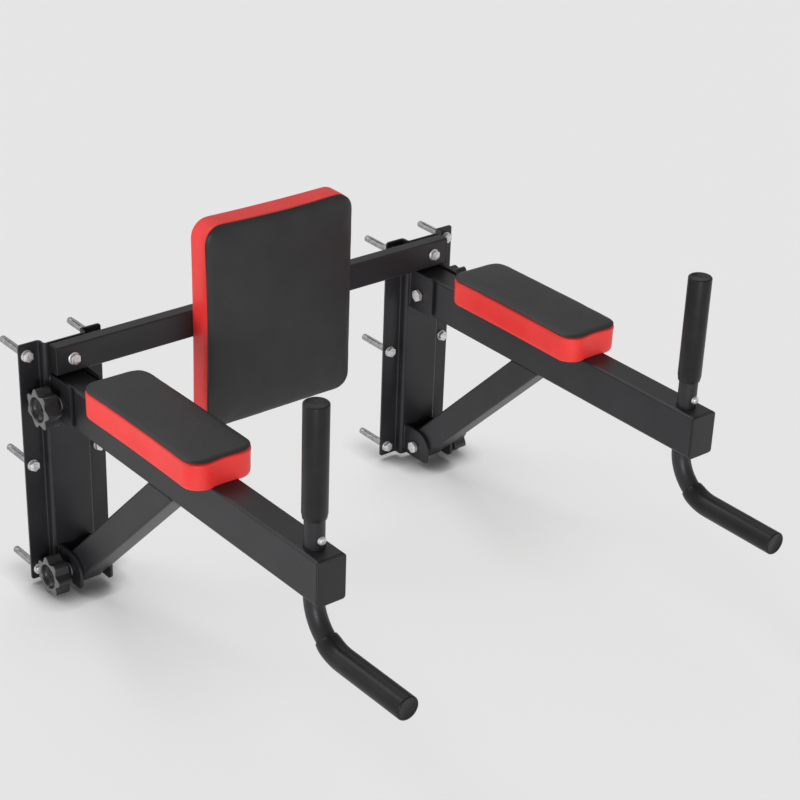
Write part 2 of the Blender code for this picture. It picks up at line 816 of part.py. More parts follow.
def handle_tube(side, centre):
    stations = handle_route()
    outer = [(station, HANDLE_DIAMETER / 2) for station in stations]
    inner = [(station, HANDLE_DIAMETER / 2 - HANDLE_WALL) for station in stations]
    tube = swept(f"handle_tube_{side}", centre, outer, inner, powder_coat(), closed_end=False)
    screw_z = ARM_TOP + HANDLE_SCREW_HEIGHT
    front = -HANDLE_Y - HANDLE_DIAMETER / 2
    drill(tube, "hole", [(at(centre, front, screw_z, FROM_WALL), SCREW_HOLE, 2 * HANDLE_WALL)])
    handle_screw(side, at(centre, -HANDLE_Y, screw_z, FROM_WALL))


def handle_screw(side, place):
    """A button-head screw in the front wall of the handle tube, just above the arm."""
    seat = HANDLE_DIAMETER / 2 + GAP
    shank = SCREW_DIAMETER / 2
    head = HANDLE_SCREW_HEAD / 2
    profile = [
        (shank - BOLT_CHAMFER, seat - HANDLE_SCREW_LENGTH),
        (shank, seat - HANDLE_SCREW_LENGTH + BOLT_CHAMFER),
        (shank, seat),
        (head, seat),
        (head, seat + HANDLE_SCREW_HEAD_HEIGHT / 2),
        (head * 0.7, seat + HANDLE_SCREW_HEAD_HEIGHT),
    ]
    edit = bmesh.new()
    turned(edit, profile, 16)
    add_object(f"handle_screw_{side}", edit, zinc(), place, smooth=True)


def upright_grip(side, centre):
    """A rubber sleeve over the handle tube, tapered at its open end and closed over the tube's end."""
    bottom = UPRIGHT_GRIP_TOP - UPRIGHT_GRIP_LENGTH
    radius = GRIP_DIAMETER / 2
    bore = HANDLE_DIAMETER / 2 + GAP
    heights = [
        (bottom, bore + GRIP_LIP),
        (bottom + GRIP_TAPER, radius),
        (UPRIGHT_GRIP_TOP - GRIP_EDGE, radius),
        (UPRIGHT_GRIP_TOP, radius - GRIP_EDGE),
    ]
    outer = [((HANDLE_Y, height, 0.0), width) for height, width in heights]
    inner = [((HANDLE_Y, height, 0.0), bore) for height in (bottom, UPRIGHT_GRIP_TOP - GRIP_END_WALL)]
    swept(f"upright_grip_{side}", centre, outer, inner, grip_rubber(), closed_end=True)


def lower_grip(side, centre):
    """The same sleeve drawn over the bent end, starting inside the bend."""
    start = lower_grip_start()
    bend = bend_stations(start, QUARTER_TURN, GRIP_BEND_STEPS)
    radius = GRIP_DIAMETER / 2
    bore = HANDLE_DIAMETER / 2 + GAP
    outer = [(bend[0], bore + GRIP_LIP)]
    outer.append((bend_station(start + GRIP_TAPER / HANDLE_BEND_RADIUS), radius))
    outer.extend((station, radius) for station in bend[1:])
    outer.append(((LOWER_GRIP_END - GRIP_EDGE, LOWER_GRIP_Z, QUARTER_TURN), radius))
    outer.append(((LOWER_GRIP_END, LOWER_GRIP_Z, QUARTER_TURN), radius - GRIP_EDGE))
    inner = [(station, bore) for station in bend]
    inner.append(((LOWER_GRIP_END - GRIP_END_WALL, LOWER_GRIP_Z, QUARTER_TURN), bore))
    swept(f"lower_grip_{side}", centre, outer, inner, grip_rubber(), closed_end=True)


# Fork bolts and star knobs


def fork_bolt(name, place):
    """An M10 bolt along local Z, its head on the inner ear and its thread out through the knob."""
    seat = FORK_OPENING / 2 + EAR_THICKNESS + GAP
    tip = FORK_OPENING / 2 + EAR_THICKNESS + WASHER_THICKNESS + KNOB_ENGAGEMENT
    profile = [
        (BOLT_DIAMETER / 2, -seat - BOLT_CHAMFER),
        (BOLT_DIAMETER / 2, tip - BOLT_CHAMFER),
        (BOLT_DIAMETER / 2 - BOLT_CHAMFER, tip),
    ]
    edit = bmesh.new()
    turned(edit, profile, 12)
    bolt = add_object(name, edit, zinc(), place, smooth=True)
    head_edit = bmesh.new()
    prism(head_edit, circle(BOLT_HEAD_FLATS / 2, 6, flats=True), -seat - BOLT_HEAD_HEIGHT, -seat)
    boolean(bolt, cutter(f"{name}_head", head_edit, place), "UNION")


def knob_outline(inset=0.0):
    """Round lobes about the knob's axis."""
    per_lobe = 6
    middle = KNOB_DIAMETER / 2 - KNOB_LOBE_DEPTH / 2
    points = []
    for step in range(KNOB_LOBES * per_lobe):
        angle = 2 * HALF_TURN * step / (KNOB_LOBES * per_lobe)
        radius = middle + KNOB_LOBE_DEPTH / 2 * math.cos(KNOB_LOBES * angle) - inset
        points.append((radius * math.cos(angle), radius * math.sin(angle)))
    return points


def knob_mesh():
    """A lobed knob on local Z from its hub's foot, dished in front, with a bore for the bolt."""
    edit = bmesh.new()
    rings = []
    edge = KNOB_EDGE
    for inset, height in (
        (edge, KNOB_HUB_HEIGHT),
        (0.0, KNOB_HUB_HEIGHT + edge),
        (0.0, KNOB_THICKNESS - edge),
        (edge, KNOB_THICKNESS),
    ):
        rings.append([edit.verts.new((x, y, height)) for x, y in knob_outline(inset)])
    for first, second in zip(rings, rings[1:]):
        join_rings(edit, first, second)
    edit.faces.new(rings[0])
    edit.faces.new(rings[-1])
    knob = add_object("upper_knob_left", edit, black_plastic(), smooth=True)
    hub_edit = bmesh.new()
    hub = KNOB_HUB_DIAMETER / 2
    turned(hub_edit, [(hub, 0), (hub + KNOB_EDGE, KNOB_HUB_HEIGHT + KNOB_EDGE)], 20)
    boolean(knob, cutter("knob_hub", hub_edit), "UNION")
    dish_edit = bmesh.new()
    dish = KNOB_DISH_DIAMETER / 2
    dish_profile = [
        (dish * 0.65, KNOB_THICKNESS - KNOB_DISH_DEPTH),
        (dish, KNOB_THICKNESS),
        (dish, KNOB_THICKNESS + CUT_MARGIN),
    ]
    turned(dish_edit, dish_profile, 20)
    boolean(knob, cutter("knob_dish", dish_edit))
    bore_edit = bmesh.new()
    bore = BOLT_CLEARANCE / 2
    turned(bore_edit, [(bore, -CUT_MARGIN), (bore, KNOB_THICKNESS)], 12)
    boolean(knob, cutter("knob_bore", bore_edit))
    return settle(knob)


def washer_mesh():
    edit = bmesh.new()
    pipe(edit, circle(WASHER_DIAMETER / 2, 16), circle(BOLT_CLEARANCE / 2, 16), 0, WASHER_THICKNESS)
    return add_object("upper_washer_left", edit, zinc(), smooth=True)


def clamps():
    """A bolt, a washer and a star knob through each fork; each knob and washer sits on its joint's axis."""
    knob = knob_mesh()
    washer = washer_mesh()
    washer_seat = FORK_OPENING / 2 + EAR_THICKNESS + GAP
    knob_seat = washer_seat + WASHER_THICKNESS + GAP
    for side, sign in SIDES.items():
        centre = sign * ARM_SPACING / 2
        outwards = facing((sign, 0, 0))
        for level, (y, z) in (("upper", UPPER_BOLT_YZ), ("lower", LOWER_BOLT_YZ)):
            fork_bolt(f"{level}_bolt_{side}", at(centre, y, z, outwards))
            for piece, source, seat in (("washer", washer, washer_seat), ("knob", knob, knob_seat)):
                lean = Matrix.Rotation(QUARTER_TURN + math.radians(KNOB_LEAN), 4, "Z")
                place = at(centre + sign * seat, y, z, outwards @ lean)
                name = f"{level}_{piece}_{side}"
                if name == source.name:
                    source.matrix_world = place
                else:
                    copy_of(source, name, place)


def build():
    clear_scene()
    for side, sign in SIDES.items():
        centre = sign * ARM_SPACING / 2
        wall_bracket(side, centre)
        arm(side, centre)
        brace(side, centre)
        arm_cushion(side, centre)
        handle_tube(side, centre)
        upright_grip(side, centre)
        lower_grip(side, centre)
    anchors()
    crossbar()
    back_pad()
    clamps()


build()
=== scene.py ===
import json
import math

import bmesh
import bpy
from mathutils import Matrix, Vector, noise

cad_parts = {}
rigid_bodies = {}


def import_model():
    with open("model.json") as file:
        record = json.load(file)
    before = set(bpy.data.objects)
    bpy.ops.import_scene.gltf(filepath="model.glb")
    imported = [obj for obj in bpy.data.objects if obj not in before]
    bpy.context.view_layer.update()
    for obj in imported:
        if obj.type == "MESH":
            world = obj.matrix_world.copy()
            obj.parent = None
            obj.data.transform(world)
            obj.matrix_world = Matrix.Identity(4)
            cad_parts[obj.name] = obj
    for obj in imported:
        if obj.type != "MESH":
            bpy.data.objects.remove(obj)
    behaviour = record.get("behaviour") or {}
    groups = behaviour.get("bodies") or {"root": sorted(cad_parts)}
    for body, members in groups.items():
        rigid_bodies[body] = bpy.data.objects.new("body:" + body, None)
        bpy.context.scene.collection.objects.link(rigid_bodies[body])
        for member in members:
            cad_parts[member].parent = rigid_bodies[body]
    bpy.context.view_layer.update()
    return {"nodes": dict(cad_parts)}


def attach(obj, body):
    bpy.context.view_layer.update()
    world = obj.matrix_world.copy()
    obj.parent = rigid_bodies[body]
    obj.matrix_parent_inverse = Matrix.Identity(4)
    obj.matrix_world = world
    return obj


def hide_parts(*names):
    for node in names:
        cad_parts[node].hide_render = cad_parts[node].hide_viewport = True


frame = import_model()
scene = bpy.context.scene
quarter = math.pi / 2
gap = 0.0003  # what neighbouring pieces keep between them
print("frame loaded with", len(frame["nodes"]), "nodes")


# Small helpers

def at(x, y, z, towards=None):
    # a place whose local Z looks along a direction, with its local X kept level
    place = Matrix.Translation((x, y, z))
    if towards is None:
        return place
    forward = Vector(towards).normalized()
    level = Vector((0, 0, 1)).cross(forward)
    sideways = level.normalized() if level.length > 0.5 else Vector((1, 0, 0))
    return place @ Matrix((sideways, forward.cross(sideways), forward)).transposed().to_4x4()


origin = Matrix.Identity(4)
intoWall = (0, 1, 0)
fromWall = (0, -1, 0)


def newVerts(grown):
    return [item for item in grown if isinstance(item, bmesh.types.BMVert)]


def newRing(grown):
    fresh = set(newVerts(grown))
    return [item for item in grown if isinstance(item, bmesh.types.BMEdge) and set(item.verts) <= fresh]


def sweep(stations, steps, edit=None, capStart=True, capEnd=True, joinEnds=False):
    # one ring drawn out along its stations, each a place and a radius
    edit = edit or bmesh.new()
    place, radius = stations[0]
    made = bmesh.ops.create_circle(
        edit, cap_ends=capStart and not joinEnds, segments=steps, radius=radius, matrix=place)["verts"]
    ring = list({edge for vert in made for edge in vert.link_edges})
    firstRing = ring
    faces = {face for vert in made for face in vert.link_faces}
    for nextPlace, nextRadius in stations[1:]:
        grown = bmesh.ops.extrude_edge_only(edit, edges=ring)["geom"]
        move = nextPlace @ Matrix.Scale(nextRadius / radius, 4) @ place.inverted()
        bmesh.ops.transform(edit, matrix=move, verts=newVerts(grown))
        faces.update(item for item in grown if isinstance(item, bmesh.types.BMFace))
        ring = newRing(grown)
        place, radius = nextPlace, nextRadius
    if joinEnds:
        faces.update(bmesh.ops.bridge_loops(edit, edges=firstRing + ring)["faces"])
    elif capEnd:
        faces.update(bmesh.ops.contextual_create(edit, geom=ring)["faces"])
    bmesh.ops.recalc_face_normals(edit, faces=list(faces))
    return edit


def lathe(profile, place, steps, edit=None, **ends):
    # the same along local Z, from radius and height pairs
    return sweep([(place @ at(0, 0, height), radius) for radius, height in profile], steps, edit, **ends)


def hexProfile(flats, low, high, chamfer):
    radius = flats / 2 / math.cos(math.pi / 6)
    return [(radius - chamfer, low), (radius, low + chamfer * 0.6), (radius, high - chamfer * 0.6),
            (radius - chamfer, high)]


def threadProfile(radius, low, high, pitch=0.00125, depth=0.0005):
    # ridges of a metric thread, as rings: a root, then a crest and a root for each turn
    halves = 2 * max(2, int((high - low) / pitch))
    return [(radius if half % 2 else radius - depth, low + (high - low) * half / halves)
            for half in range(halves + 1)]


def turnOutward(edit):
    bmesh.ops.recalc_face_normals(edit, faces=edit.faces)


def moved(edit, place):
    bmesh.ops.transform(edit, matrix=place, verts=edit.verts)
    return edit


def rounded(edit, geom, radius, segments, affect="EDGES"):
    return bmesh.ops.bevel(
        edit, geom=geom, offset=radius, offset_type="OFFSET", segments=segments, profile=0.5, affect=affect,
        material=-1)


def roundedBox(width, height, depth, corner, place, edit=None, segments=4):
    # a block along local Z from 0, with its four long edges rounded
    edit = edit or bmesh.new()
    made = bmesh.ops.create_cube(edit, size=1.0)["verts"]
    bmesh.ops.scale(edit, vec=(width, height, depth), verts=made)
    bmesh.ops.translate(edit, vec=(0, 0, depth / 2), verts=made)
    edges = {edge for vert in made for edge in vert.link_edges}
    upright = [edge for edge in edges if abs(edge.verts[0].co.z - edge.verts[1].co.z) > depth / 2]
    linked = set(made)
    if corner:
        turned = rounded(edit, upright, corner, segments)
        linked = {vert for vert in made if vert.is_valid} | set(turned["verts"])
        linked |= {vert for face in turned["faces"] for vert in face.verts}
    bmesh.ops.transform(edit, matrix=place, verts=list(linked))
    return edit


def boxTube(width, height, corner, wall, length, place):
    # a rectangular tube along local Z with rounded corners and open ends
    edit = roundedBox(width, height, length, corner, origin, segments=5)
    ends = [face for face in edit.faces if abs(face.normal.z) > 0.9]
    bmesh.ops.delete(edit, geom=ends, context="FACES_ONLY")
    turnOutward(edit)
    bmesh.ops.solidify(edit, geom=edit.faces[:], thickness=wall)
    return moved(edit, place)


def withSettings(thing, **settings):
    for name, value in settings.items():
        setattr(thing, name, value)
    return thing


def asObject(name, edit):
    mesh = bpy.data.meshes.new(name)
    edit.to_mesh(mesh)
    edit.free()
    made = bpy.data.objects.new(name, mesh)
    scene.collection.objects.link(made)
    return made


def evaluatedMesh(piece):
    graph = bpy.context.evaluated_depsgraph_get()
    return bpy.data.meshes.new_from_object(piece.evaluated_get(graph))


def addPiece(name, edit, slotName, nodes=(), second=None, body="station", holes=None, edge=0.0, sharp=35):
    # a second finish is for the faces that have material index 1
    piece = asObject(name, edit)
    if holes is not None:
        tool = asObject("holes", holes)
        step = piece.modifiers.new("holes", "BOOLEAN")
        withSettings(step, operation="DIFFERENCE", solver="EXACT", object=tool)
        holed = evaluatedMesh(piece)
        piece.modifiers.clear()
        piece.data = holed
        bpy.data.objects.remove(tool, do_unlink=True)
    piece.data.name = name
    piece.data.materials.append(finishes[slotName])
    if second:
        piece.data.materials.append(second)
    piece.data.shade_smooth()
    if edge:
        step = piece.modifiers.new("soft edges", "BEVEL")
        withSettings(step, limit_method="ANGLE", angle_limit=math.radians(sharp), width=edge, segments=2,
                     use_clamp_overlap=False)
        step = piece.modifiers.new("flat faces stay flat", "WEIGHTED_NORMAL")
        step.keep_sharp = True
    else:
        piece.data.set_sharp_from_angle(angle=math.radians(sharp))
    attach(piece, body)
    if nodes:
        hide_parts(*nodes)


# Materials

def srgb(code):
    channels = [((code >> shift) & 255) / 255 for shift in (16, 8, 0)]
    return (*[c / 12.92 if c <= 0.04045 else ((c + 0.055) / 1.055) ** 2.4 for c in channels], 1)


def addNode(tree, kind, settings=None, links=None):
    node = tree.nodes.new(kind)
    for name, value in (settings or {}).items():
        if name in node.inputs:
            node.inputs[name].default_value = value
        else:
            setattr(node, name, value)
    for name, source in (links or {}).items():
        tree.links.new(source, node.inputs[name])
    return node


def newMaterial(name, roughness, metallic=0.0, specular=0.5):
    made = bpy.data.materials.new(name)
    made.use_nodes = True
    tree = made.node_tree
    shader = tree.nodes["Principled BSDF"]
    shader.inputs["Roughness"].default_value = roughness
    shader.inputs["Metallic"].default_value = metallic
    shader.inputs["Specular IOR Level"].default_value = specular
    return made, tree, shader, addNode(tree, "ShaderNodeTexCoord").outputs["Object"]


def colourRamp(tree, value, low, high, start, end):
    node = addNode(tree, "ShaderNodeValToRGB", links={"Fac": value})
    ramp = node.color_ramp
    for element, colour, position in zip(ramp.elements, (low, high), (start, end)):
        element.color = srgb(colour)
        element.position = position
    return ramp, node.outputs["Color"]


def mottled(tree, place, low, high, size):
    # a soft change between two colours, over patches of one size in metres
    patches = addNode(tree, "ShaderNodeTexNoise", {"Scale": 1 / size, "Detail": 3.0}, {"Vector": place})
    return colourRamp(tree, patches.outputs["Fac"], low, high, 0.35, 0.65)[1]


def spread(tree, value, low, high):
    # a noise value, mostly between 0.3 and 0.7, stretched between two others
    return addNode(
        tree, "ShaderNodeMapRange",
        {"From Min": 0.3, "From Max": 0.7, "To Min": low, "To Max": high}, {"Value": value}).outputs["Result"]


def relief(tree, shader, pattern, strength, depth, **more):
    # a pattern that stands up from the surface by a depth in metres
    bump = addNode(
        tree, "ShaderNodeBump", {"Strength": strength, "Distance": depth, **more}, {"Height": pattern})
    tree.links.new(bump.outputs["Normal"], shader.inputs["Normal"])


def finish(name, colours, patch, texture, roughness, bump=None, metallic=0.0, specular=0.5, **more):
    # patches of colour, and a finer pattern that varies the roughness, given as its middle, low and high
    # values, and stands up as a bump
    made, tree, shader, place = newMaterial(name, roughness[0], metallic, specular)
    tree.links.new(mottled(tree, place, *colours, patch), shader.inputs["Base Color"])
    kind, settings, output = texture
    pattern = addNode(tree, kind, settings, {"Vector": place}).outputs[output]
    tree.links.new(spread(tree, pattern, *roughness[1:]), shader.inputs["Roughness"])
    if bump:
        relief(tree, shader, pattern, *bump, **more)
    return made


def grain(size, detail):
    return "ShaderNodeTexNoise", {"Scale": 1 / size, "Detail": detail}, "Fac"


def zincPlate(name, low, high, metallic):
    # zinc plated steel under a thin milky passivation: silvery, with faint cloudy streaks
    return finish(name, (low, high), 0.004, grain(0.002, 4.0), (0.42, 0.36, 0.52), metallic=metallic)


def mouldedPlastic(name, low, high, roughness):
    # polypropylene or nylon from a spark-eroded mould: matt, with an even fine grain of 0.3 mm, drawn at 1 mm
    return finish(name, (low, high), 0.020, grain(0.0010, 1.0),
                  (roughness, roughness - 0.05, roughness + 0.05), (0.07, 0.0002))


def sewnVinyl(name, low, high, roughness):
    # PVC leathercloth with fine pebbles of 0.8 mm, drawn at 1.6 mm: a matt skin with a slight plastic sheen
    pebbles = "ShaderNodeTexVoronoi", {"feature": "SMOOTH_F1", "Scale": 1 / 0.0016}, "Distance"
    return finish(name, (low, high), 0.045, pebbles, (roughness, roughness + 0.06, roughness - 0.04),
                  (0.16, 0.0002), specular=0.42, invert=True)


def birchPlywood():
    # sawn birch plywood, unvarnished: pale straight grain with darker pores
    made, tree, shader, place = newMaterial("raw birch plywood", 0.7)
    along = addNode(tree, "ShaderNodeMapping", {"Scale": (14.0, 1.0, 14.0)}, {"Vector": place})
    figure = addNode(
        tree, "ShaderNodeTexNoise", {"Scale": 1 / 0.040, "Detail": 5.0, "Distortion": 0.6},
        {"Vector": along.outputs["Vector"]})
    colour = colourRamp(tree, figure.outputs["Fac"], 0x9B7A4E, 0xC9A877, 0.30, 0.62)[1]
    tree.links.new(colour, shader.inputs["Base Color"])
    relief(tree, shader, figure.outputs["Fac"], 0.25, 0.0002)
    return made


finishes = {
    # polyester powder coat, sprayed and baked: a charcoal skin with a soft sheen and a fine orange peel,
    # which is about 1 mm across and drawn at 1.8 mm so that it shows
    "powder_coat": finish("powder coated steel", (0x222225, 0x28282B), 0.060, grain(0.0018, 2.0),
                          (0.42, 0.36, 0.48), (0.20, 0.0003), specular=0.40),
    "zinc": zincPlate("bright zinc plate", 0xD6D7D8, 0xF2F2F2, 0.62),
    "black_plastic": mouldedPlastic("moulded polypropylene", 0x0E0E10, 0x131315, 0.42),
    "knob_plastic": mouldedPlastic("moulded nylon", 0x242426, 0x2A2A2C, 0.36),
    # a moulded rubber sleeve: near black and smooth, with a broad soft shine
    "grip_rubber": finish("moulded grip rubber", (0x1A1A1C, 0x202022), 0.030, grain(0.0012, 2.0),
                          (0.42, 0.36, 0.44), (0.12, 0.0002), specular=0.26),
    "plywood": birchPlywood(),
}
darkerZinc = zincPlate("dull zinc plate", 0x8C8C8E, 0xB2B2B4, 0.80)
# painted light: the knob's lobe faces and ring are coloured far lighter than its sides, for the light that
# falls on them
knobFacePaintedLit = mouldedPlastic("polished nylon", 0x606062, 0x68686A, 0.30)
blackVinyl = sewnVinyl("black vinyl leathercloth", 0x282829, 0x2D2D2E, 0.46)
redVinyl = sewnVinyl("red vinyl leathercloth", 0xFA3632, 0xFF3E3A, 0.42)
print("materials made")


# Wall brackets: a pressed hat section, with the fork plates welded on

bracket = {
    "centre": 0.300, "width": 0.122, "height": 0.3515, "sheet": 0.003, "webWidth": 0.064,
    "webFront": 0.016, "bend": 0.002, "corner": 0.004, "edge": 0.0005,
}
fork = {
    "opening": 0.042, "plate": 0.004, "root": 0.0145, "corner": 0.007, "bead": 0.0022,
    # lowest and highest point, reach from the wall, and the top corner's radius
    "upper": (0.247, 0.307, 0.066, 0.007), "lower": (0.004, 0.050, 0.070, 0.024),
}
earFace = fork["opening"] / 2 + fork["plate"]  # from a fork's middle to the outer face of its ear
anchor = {
    "columns": (-0.050, 0.050), "rows": (0.335, 0.175, 0.015), "stud": 0.008, "hole": 0.011,
    "sleeve": 0.010, "reach": 0.058, "nutFlats": 0.013, "nutHeight": 0.0055, "washer": 0.016,
    "washerThickness": 0.0015, "tip": 0.0108, "slitStart": 0.016, "sleeveWall": 0.0009, "slits": 3,
    "slitTurn": 5.1, "chamfer": 0.0009,
}


def eachSide():
    for side, sign in (("Left", -1), ("Right", 1)):
        yield side, side.lower(), sign, sign * bracket["centre"]


def hatSection(centre):
    half = bracket["width"] / 2
    inner = bracket["webWidth"] / 2 - bracket["sheet"]
    depth = bracket["webFront"] - bracket["sheet"]
    edit = bmesh.new()
    line = [(-half, 0), (-inner, 0), (-inner, -depth), (inner, -depth), (inner, 0), (half, 0)]
    verts = [edit.verts.new((x, y, 0)) for x, y in line]
    edges = [edit.edges.new(pair) for pair in zip(verts, verts[1:])]
    raised = bmesh.ops.extrude_edge_only(edit, edges=edges)["geom"]
    bmesh.ops.translate(edit, vec=(0, 0, bracket["height"]), verts=newVerts(raised))
    for y, radius in ((0, bracket["bend"] + bracket["sheet"]), (-depth, bracket["bend"])):
        bends = []
        for edge in edit.edges:
            first, second = (vert.co for vert in edge.verts)
            upright = abs(first.x - second.x) < gap and abs(first.y - second.y) < gap
            if upright and abs(abs(first.x) - inner) < gap and abs(first.y - y) < gap:
                bends.append(edge)
        rounded(edit, bends, radius, 4)
    corners = [vert for vert in edit.verts if abs(abs(vert.co.x) - half) < gap]
    rounded(edit, corners, bracket["corner"], 4, "VERTICES")
    turnOutward(edit)
    web = min(edit.faces, key=lambda face: face.calc_center_median().y)
    if web.normal.y < 0:
        bmesh.ops.reverse_faces(edit, faces=edit.faces)
    bmesh.ops.solidify(edit, geom=edit.faces[:], thickness=bracket["sheet"])
    return moved(edit, at(centre, 0, 0))


def bracketHoles(centre):
    edit = bmesh.new()
    for column in anchor["columns"]:
        for row in anchor["rows"]:
            place = at(centre + column, -0.010, row, intoWall)
            lathe([(anchor["hole"] / 2, 0), (anchor["hole"] / 2, 0.020)], place, 24, edit)
    return edit


def forkPlates(centre):
    edit = bmesh.new()
    thick = fork["plate"]
    for level in ("upper", "lower"):
        low, high, reach, topCorner = fork[level]
        for hand in (-1, 1):
            x = centre + hand * fork["opening"] / 2
            outline = [(-fork["root"], low), (-reach, low), (-reach, high), (-fork["root"], high)]
            verts = [edit.verts.new((x, y, z)) for y, z in outline]
            edit.faces.new(verts)
            for vert, radius in ((verts[1], fork["corner"]), (verts[2], topCorner)):
                rounded(edit, [vert], radius, 8, "VERTICES")
            plate = max((face for face in edit.faces if abs(face.calc_center_median().x - x) < gap / 9
                         and abs(face.calc_center_median().z - (low + high) / 2) < 0.02),
                        key=lambda face: face.calc_area())
            grown = bmesh.ops.extrude_face_region(edit, geom=[plate])["geom"]
            bmesh.ops.translate(edit, vec=(hand * thick, 0, 0), verts=newVerts(grown))
    turnOutward(edit)
    return edit


def bead(edit, start, end, radius):
    # a weld bead: overlapping ripples about 1.7 mm apart, tapered at both ends
    start, end = Vector(start), Vector(end)
    run = end - start
    steps = max(6, int(run.length / 0.00085))
    stations = []
    for step in range(steps + 1):
        share = step / steps
        taper = min(1.0, 0.35 + 8 * min(share, 1 - share))
        ripple = 1 + (0.07 if step % 2 else -0.05)
        stations.append((at(*(start + run * share), towards=run), radius * taper * ripple))
    sweep(stations, 10, edit)


def forkWelds(centre):
    edit = bmesh.new()
    for level in ("upper", "lower"):
        low, high = fork[level][:2]
        for hand in (-1, 1):
            x, y = centre + hand * earFace, -bracket["webFront"]
            bead(edit, (x, y, low + 0.002), (x, y, high - 0.002), fork["bead"])
    return edit


def sleeveAnchor():
    # along Z into the wall: the slit sleeve with its cone, the stud, the washer and the nut
    back = -bracket["sheet"] - gap
    front = back - anchor["washerThickness"]
    radius = anchor["sleeve"] / 2
    reach = anchor["reach"]
    slit = anchor["slitStart"]
    edit = bmesh.new()
    lathe([(radius, back), (radius, slit), (radius, reach * 0.55), (radius, reach - 0.006)],
          origin, 36, edit, capStart=False, capEnd=False)
    strips = []
    apart = 360 / anchor["slits"]
    for face in edit.faces:
        centre = face.calc_center_median()
        turn = math.degrees(math.atan2(centre.y, centre.x)) % apart
        if centre.z > slit and abs(turn - apart / 2) < anchor["slitTurn"]:
            strips.append(face)
    bmesh.ops.delete(edit, geom=strips, context="FACES")
    turnOutward(edit)
    if edit.faces[0].normal.dot(edit.faces[0].calc_center_median().xy.to_3d()) < 0:
        bmesh.ops.reverse_faces(edit, faces=edit.faces)
    bmesh.ops.solidify(edit, geom=edit.faces[:], thickness=anchor["sleeveWall"])
    cone = [(0.0036, reach - 0.010), (0.0040, reach - 0.0062), (radius - 0.0001, reach - 0.0012),
            (radius - 0.0006, reach)]
    lathe(cone, origin, 24, edit)
    lathe([(0.0034, back), (0.0034, reach - 0.008)], origin, 20, edit)
    lathe(threadProfile(anchor["stud"] / 2, -anchor["tip"], back), origin, 24, edit)
    washer = anchor["washer"] / 2
    lathe([(washer - 0.0003, front), (washer, front + 0.0003), (washer, back), (washer - 0.0003, back)],
          origin, 32, edit)
    nut = hexProfile(anchor["nutFlats"], front - anchor["nutHeight"], front, anchor["chamfer"])
    lathe(nut, origin, 6, edit)
    mesh = bpy.data.meshes.new("sleeveAnchor")
    # what goes into the wall is drawn in a darker grey zinc than the nut outside
    for face in edit.faces:
        face.material_index = int(face.calc_center_median().z > back)
    edit.to_mesh(mesh)
    edit.free()
    return mesh


anchorMesh = sleeveAnchor()
for side, low, sign, centre in eachSide():
    addPiece(f"hatSection{side}", hatSection(centre), "powder_coat", [f"bracket_{low}"],
             holes=bracketHoles(centre), edge=bracket["edge"])
    addPiece(f"forkPlates{side}", forkPlates(centre), "powder_coat", [f"bracket_{low}"], edge=bracket["edge"])
    addPiece(f"forkWelds{side}", forkWelds(centre), "powder_coat", [f"bracket_{low}"], sharp=60)
    number = 0
    for row in anchor["rows"]:
        for column in anchor["columns"]:
            number += 1
            edit = bmesh.new()
            edit.from_mesh(anchorMesh)
            place = at(centre + column, 0, row, intoWall)
            addPiece(f"sleeveAnchor{side}{number}", moved(edit, place), "zinc", [f"anchor_{low}_{number}"],
                     darkerZinc)
print("brackets and anchors built")


# Crossbar with its plugs and flange bolts

crossbar = {
    "length": 0.646, "height": 0.040, "depth": 0.020, "top": 0.351, "wall": 0.002, "corner": 0.003,
    "plugFlange": 0.002, "edge": 0.0004,
}
flangeBolt = {
    "thread": 0.008, "flange": 0.0168, "flats": 0.013, "flangeHeight": 0.0016, "headHeight": 0.0060,
    "nutHeight": 0.0065, "spare": 0.003, "chamfer": 0.0009,
}
plug = {"depth": 0.012, "play": 0.0003, "edge": 0.0009}


def endPlug(tube, width, height, place):
    edit = roundedBox(width, height, tube["plugFlange"], tube["corner"], place)
    inside = place @ at(0, 0, -plug["depth"])
    shrink = 2 * (tube["wall"] + plug["play"])
    return roundedBox(width - shrink, height - shrink, plug["depth"], tube["corner"] / 2, inside, edit)


def flangeBoltAndNut(place):
    front = crossbar["depth"] / 2 + gap
    nutBack = front + bracket["sheet"] + gap
    nutFront = nutBack + flangeBolt["nutHeight"]
    radius = flangeBolt["flange"] / 2
    thread = flangeBolt["thread"] / 2
    rise = flangeBolt["flangeHeight"]
    top = -front - flangeBolt["headHeight"]
    edit = lathe([(radius * 0.80, -front - rise), (radius * 0.93, -front - rise * 0.62),
                  (radius, -front - rise * 0.35), (radius, -front)], place, 32)
    lathe(hexProfile(flangeBolt["flats"], top, -front - rise * 0.4, flangeBolt["chamfer"]), place, 6, edit)
    for profile in (
        [(0.0036, top - 0.0002), (0.0041, -front - rise)],
        [(thread, -front), (thread, nutBack)],
        threadProfile(thread, nutBack, nutFront + flangeBolt["spare"]),
    ):
        lathe(profile, place, 24, edit)
    nut = lathe(hexProfile(flangeBolt["flats"], nutBack, nutFront, flangeBolt["chamfer"]), place, 6)
    return edit, nut


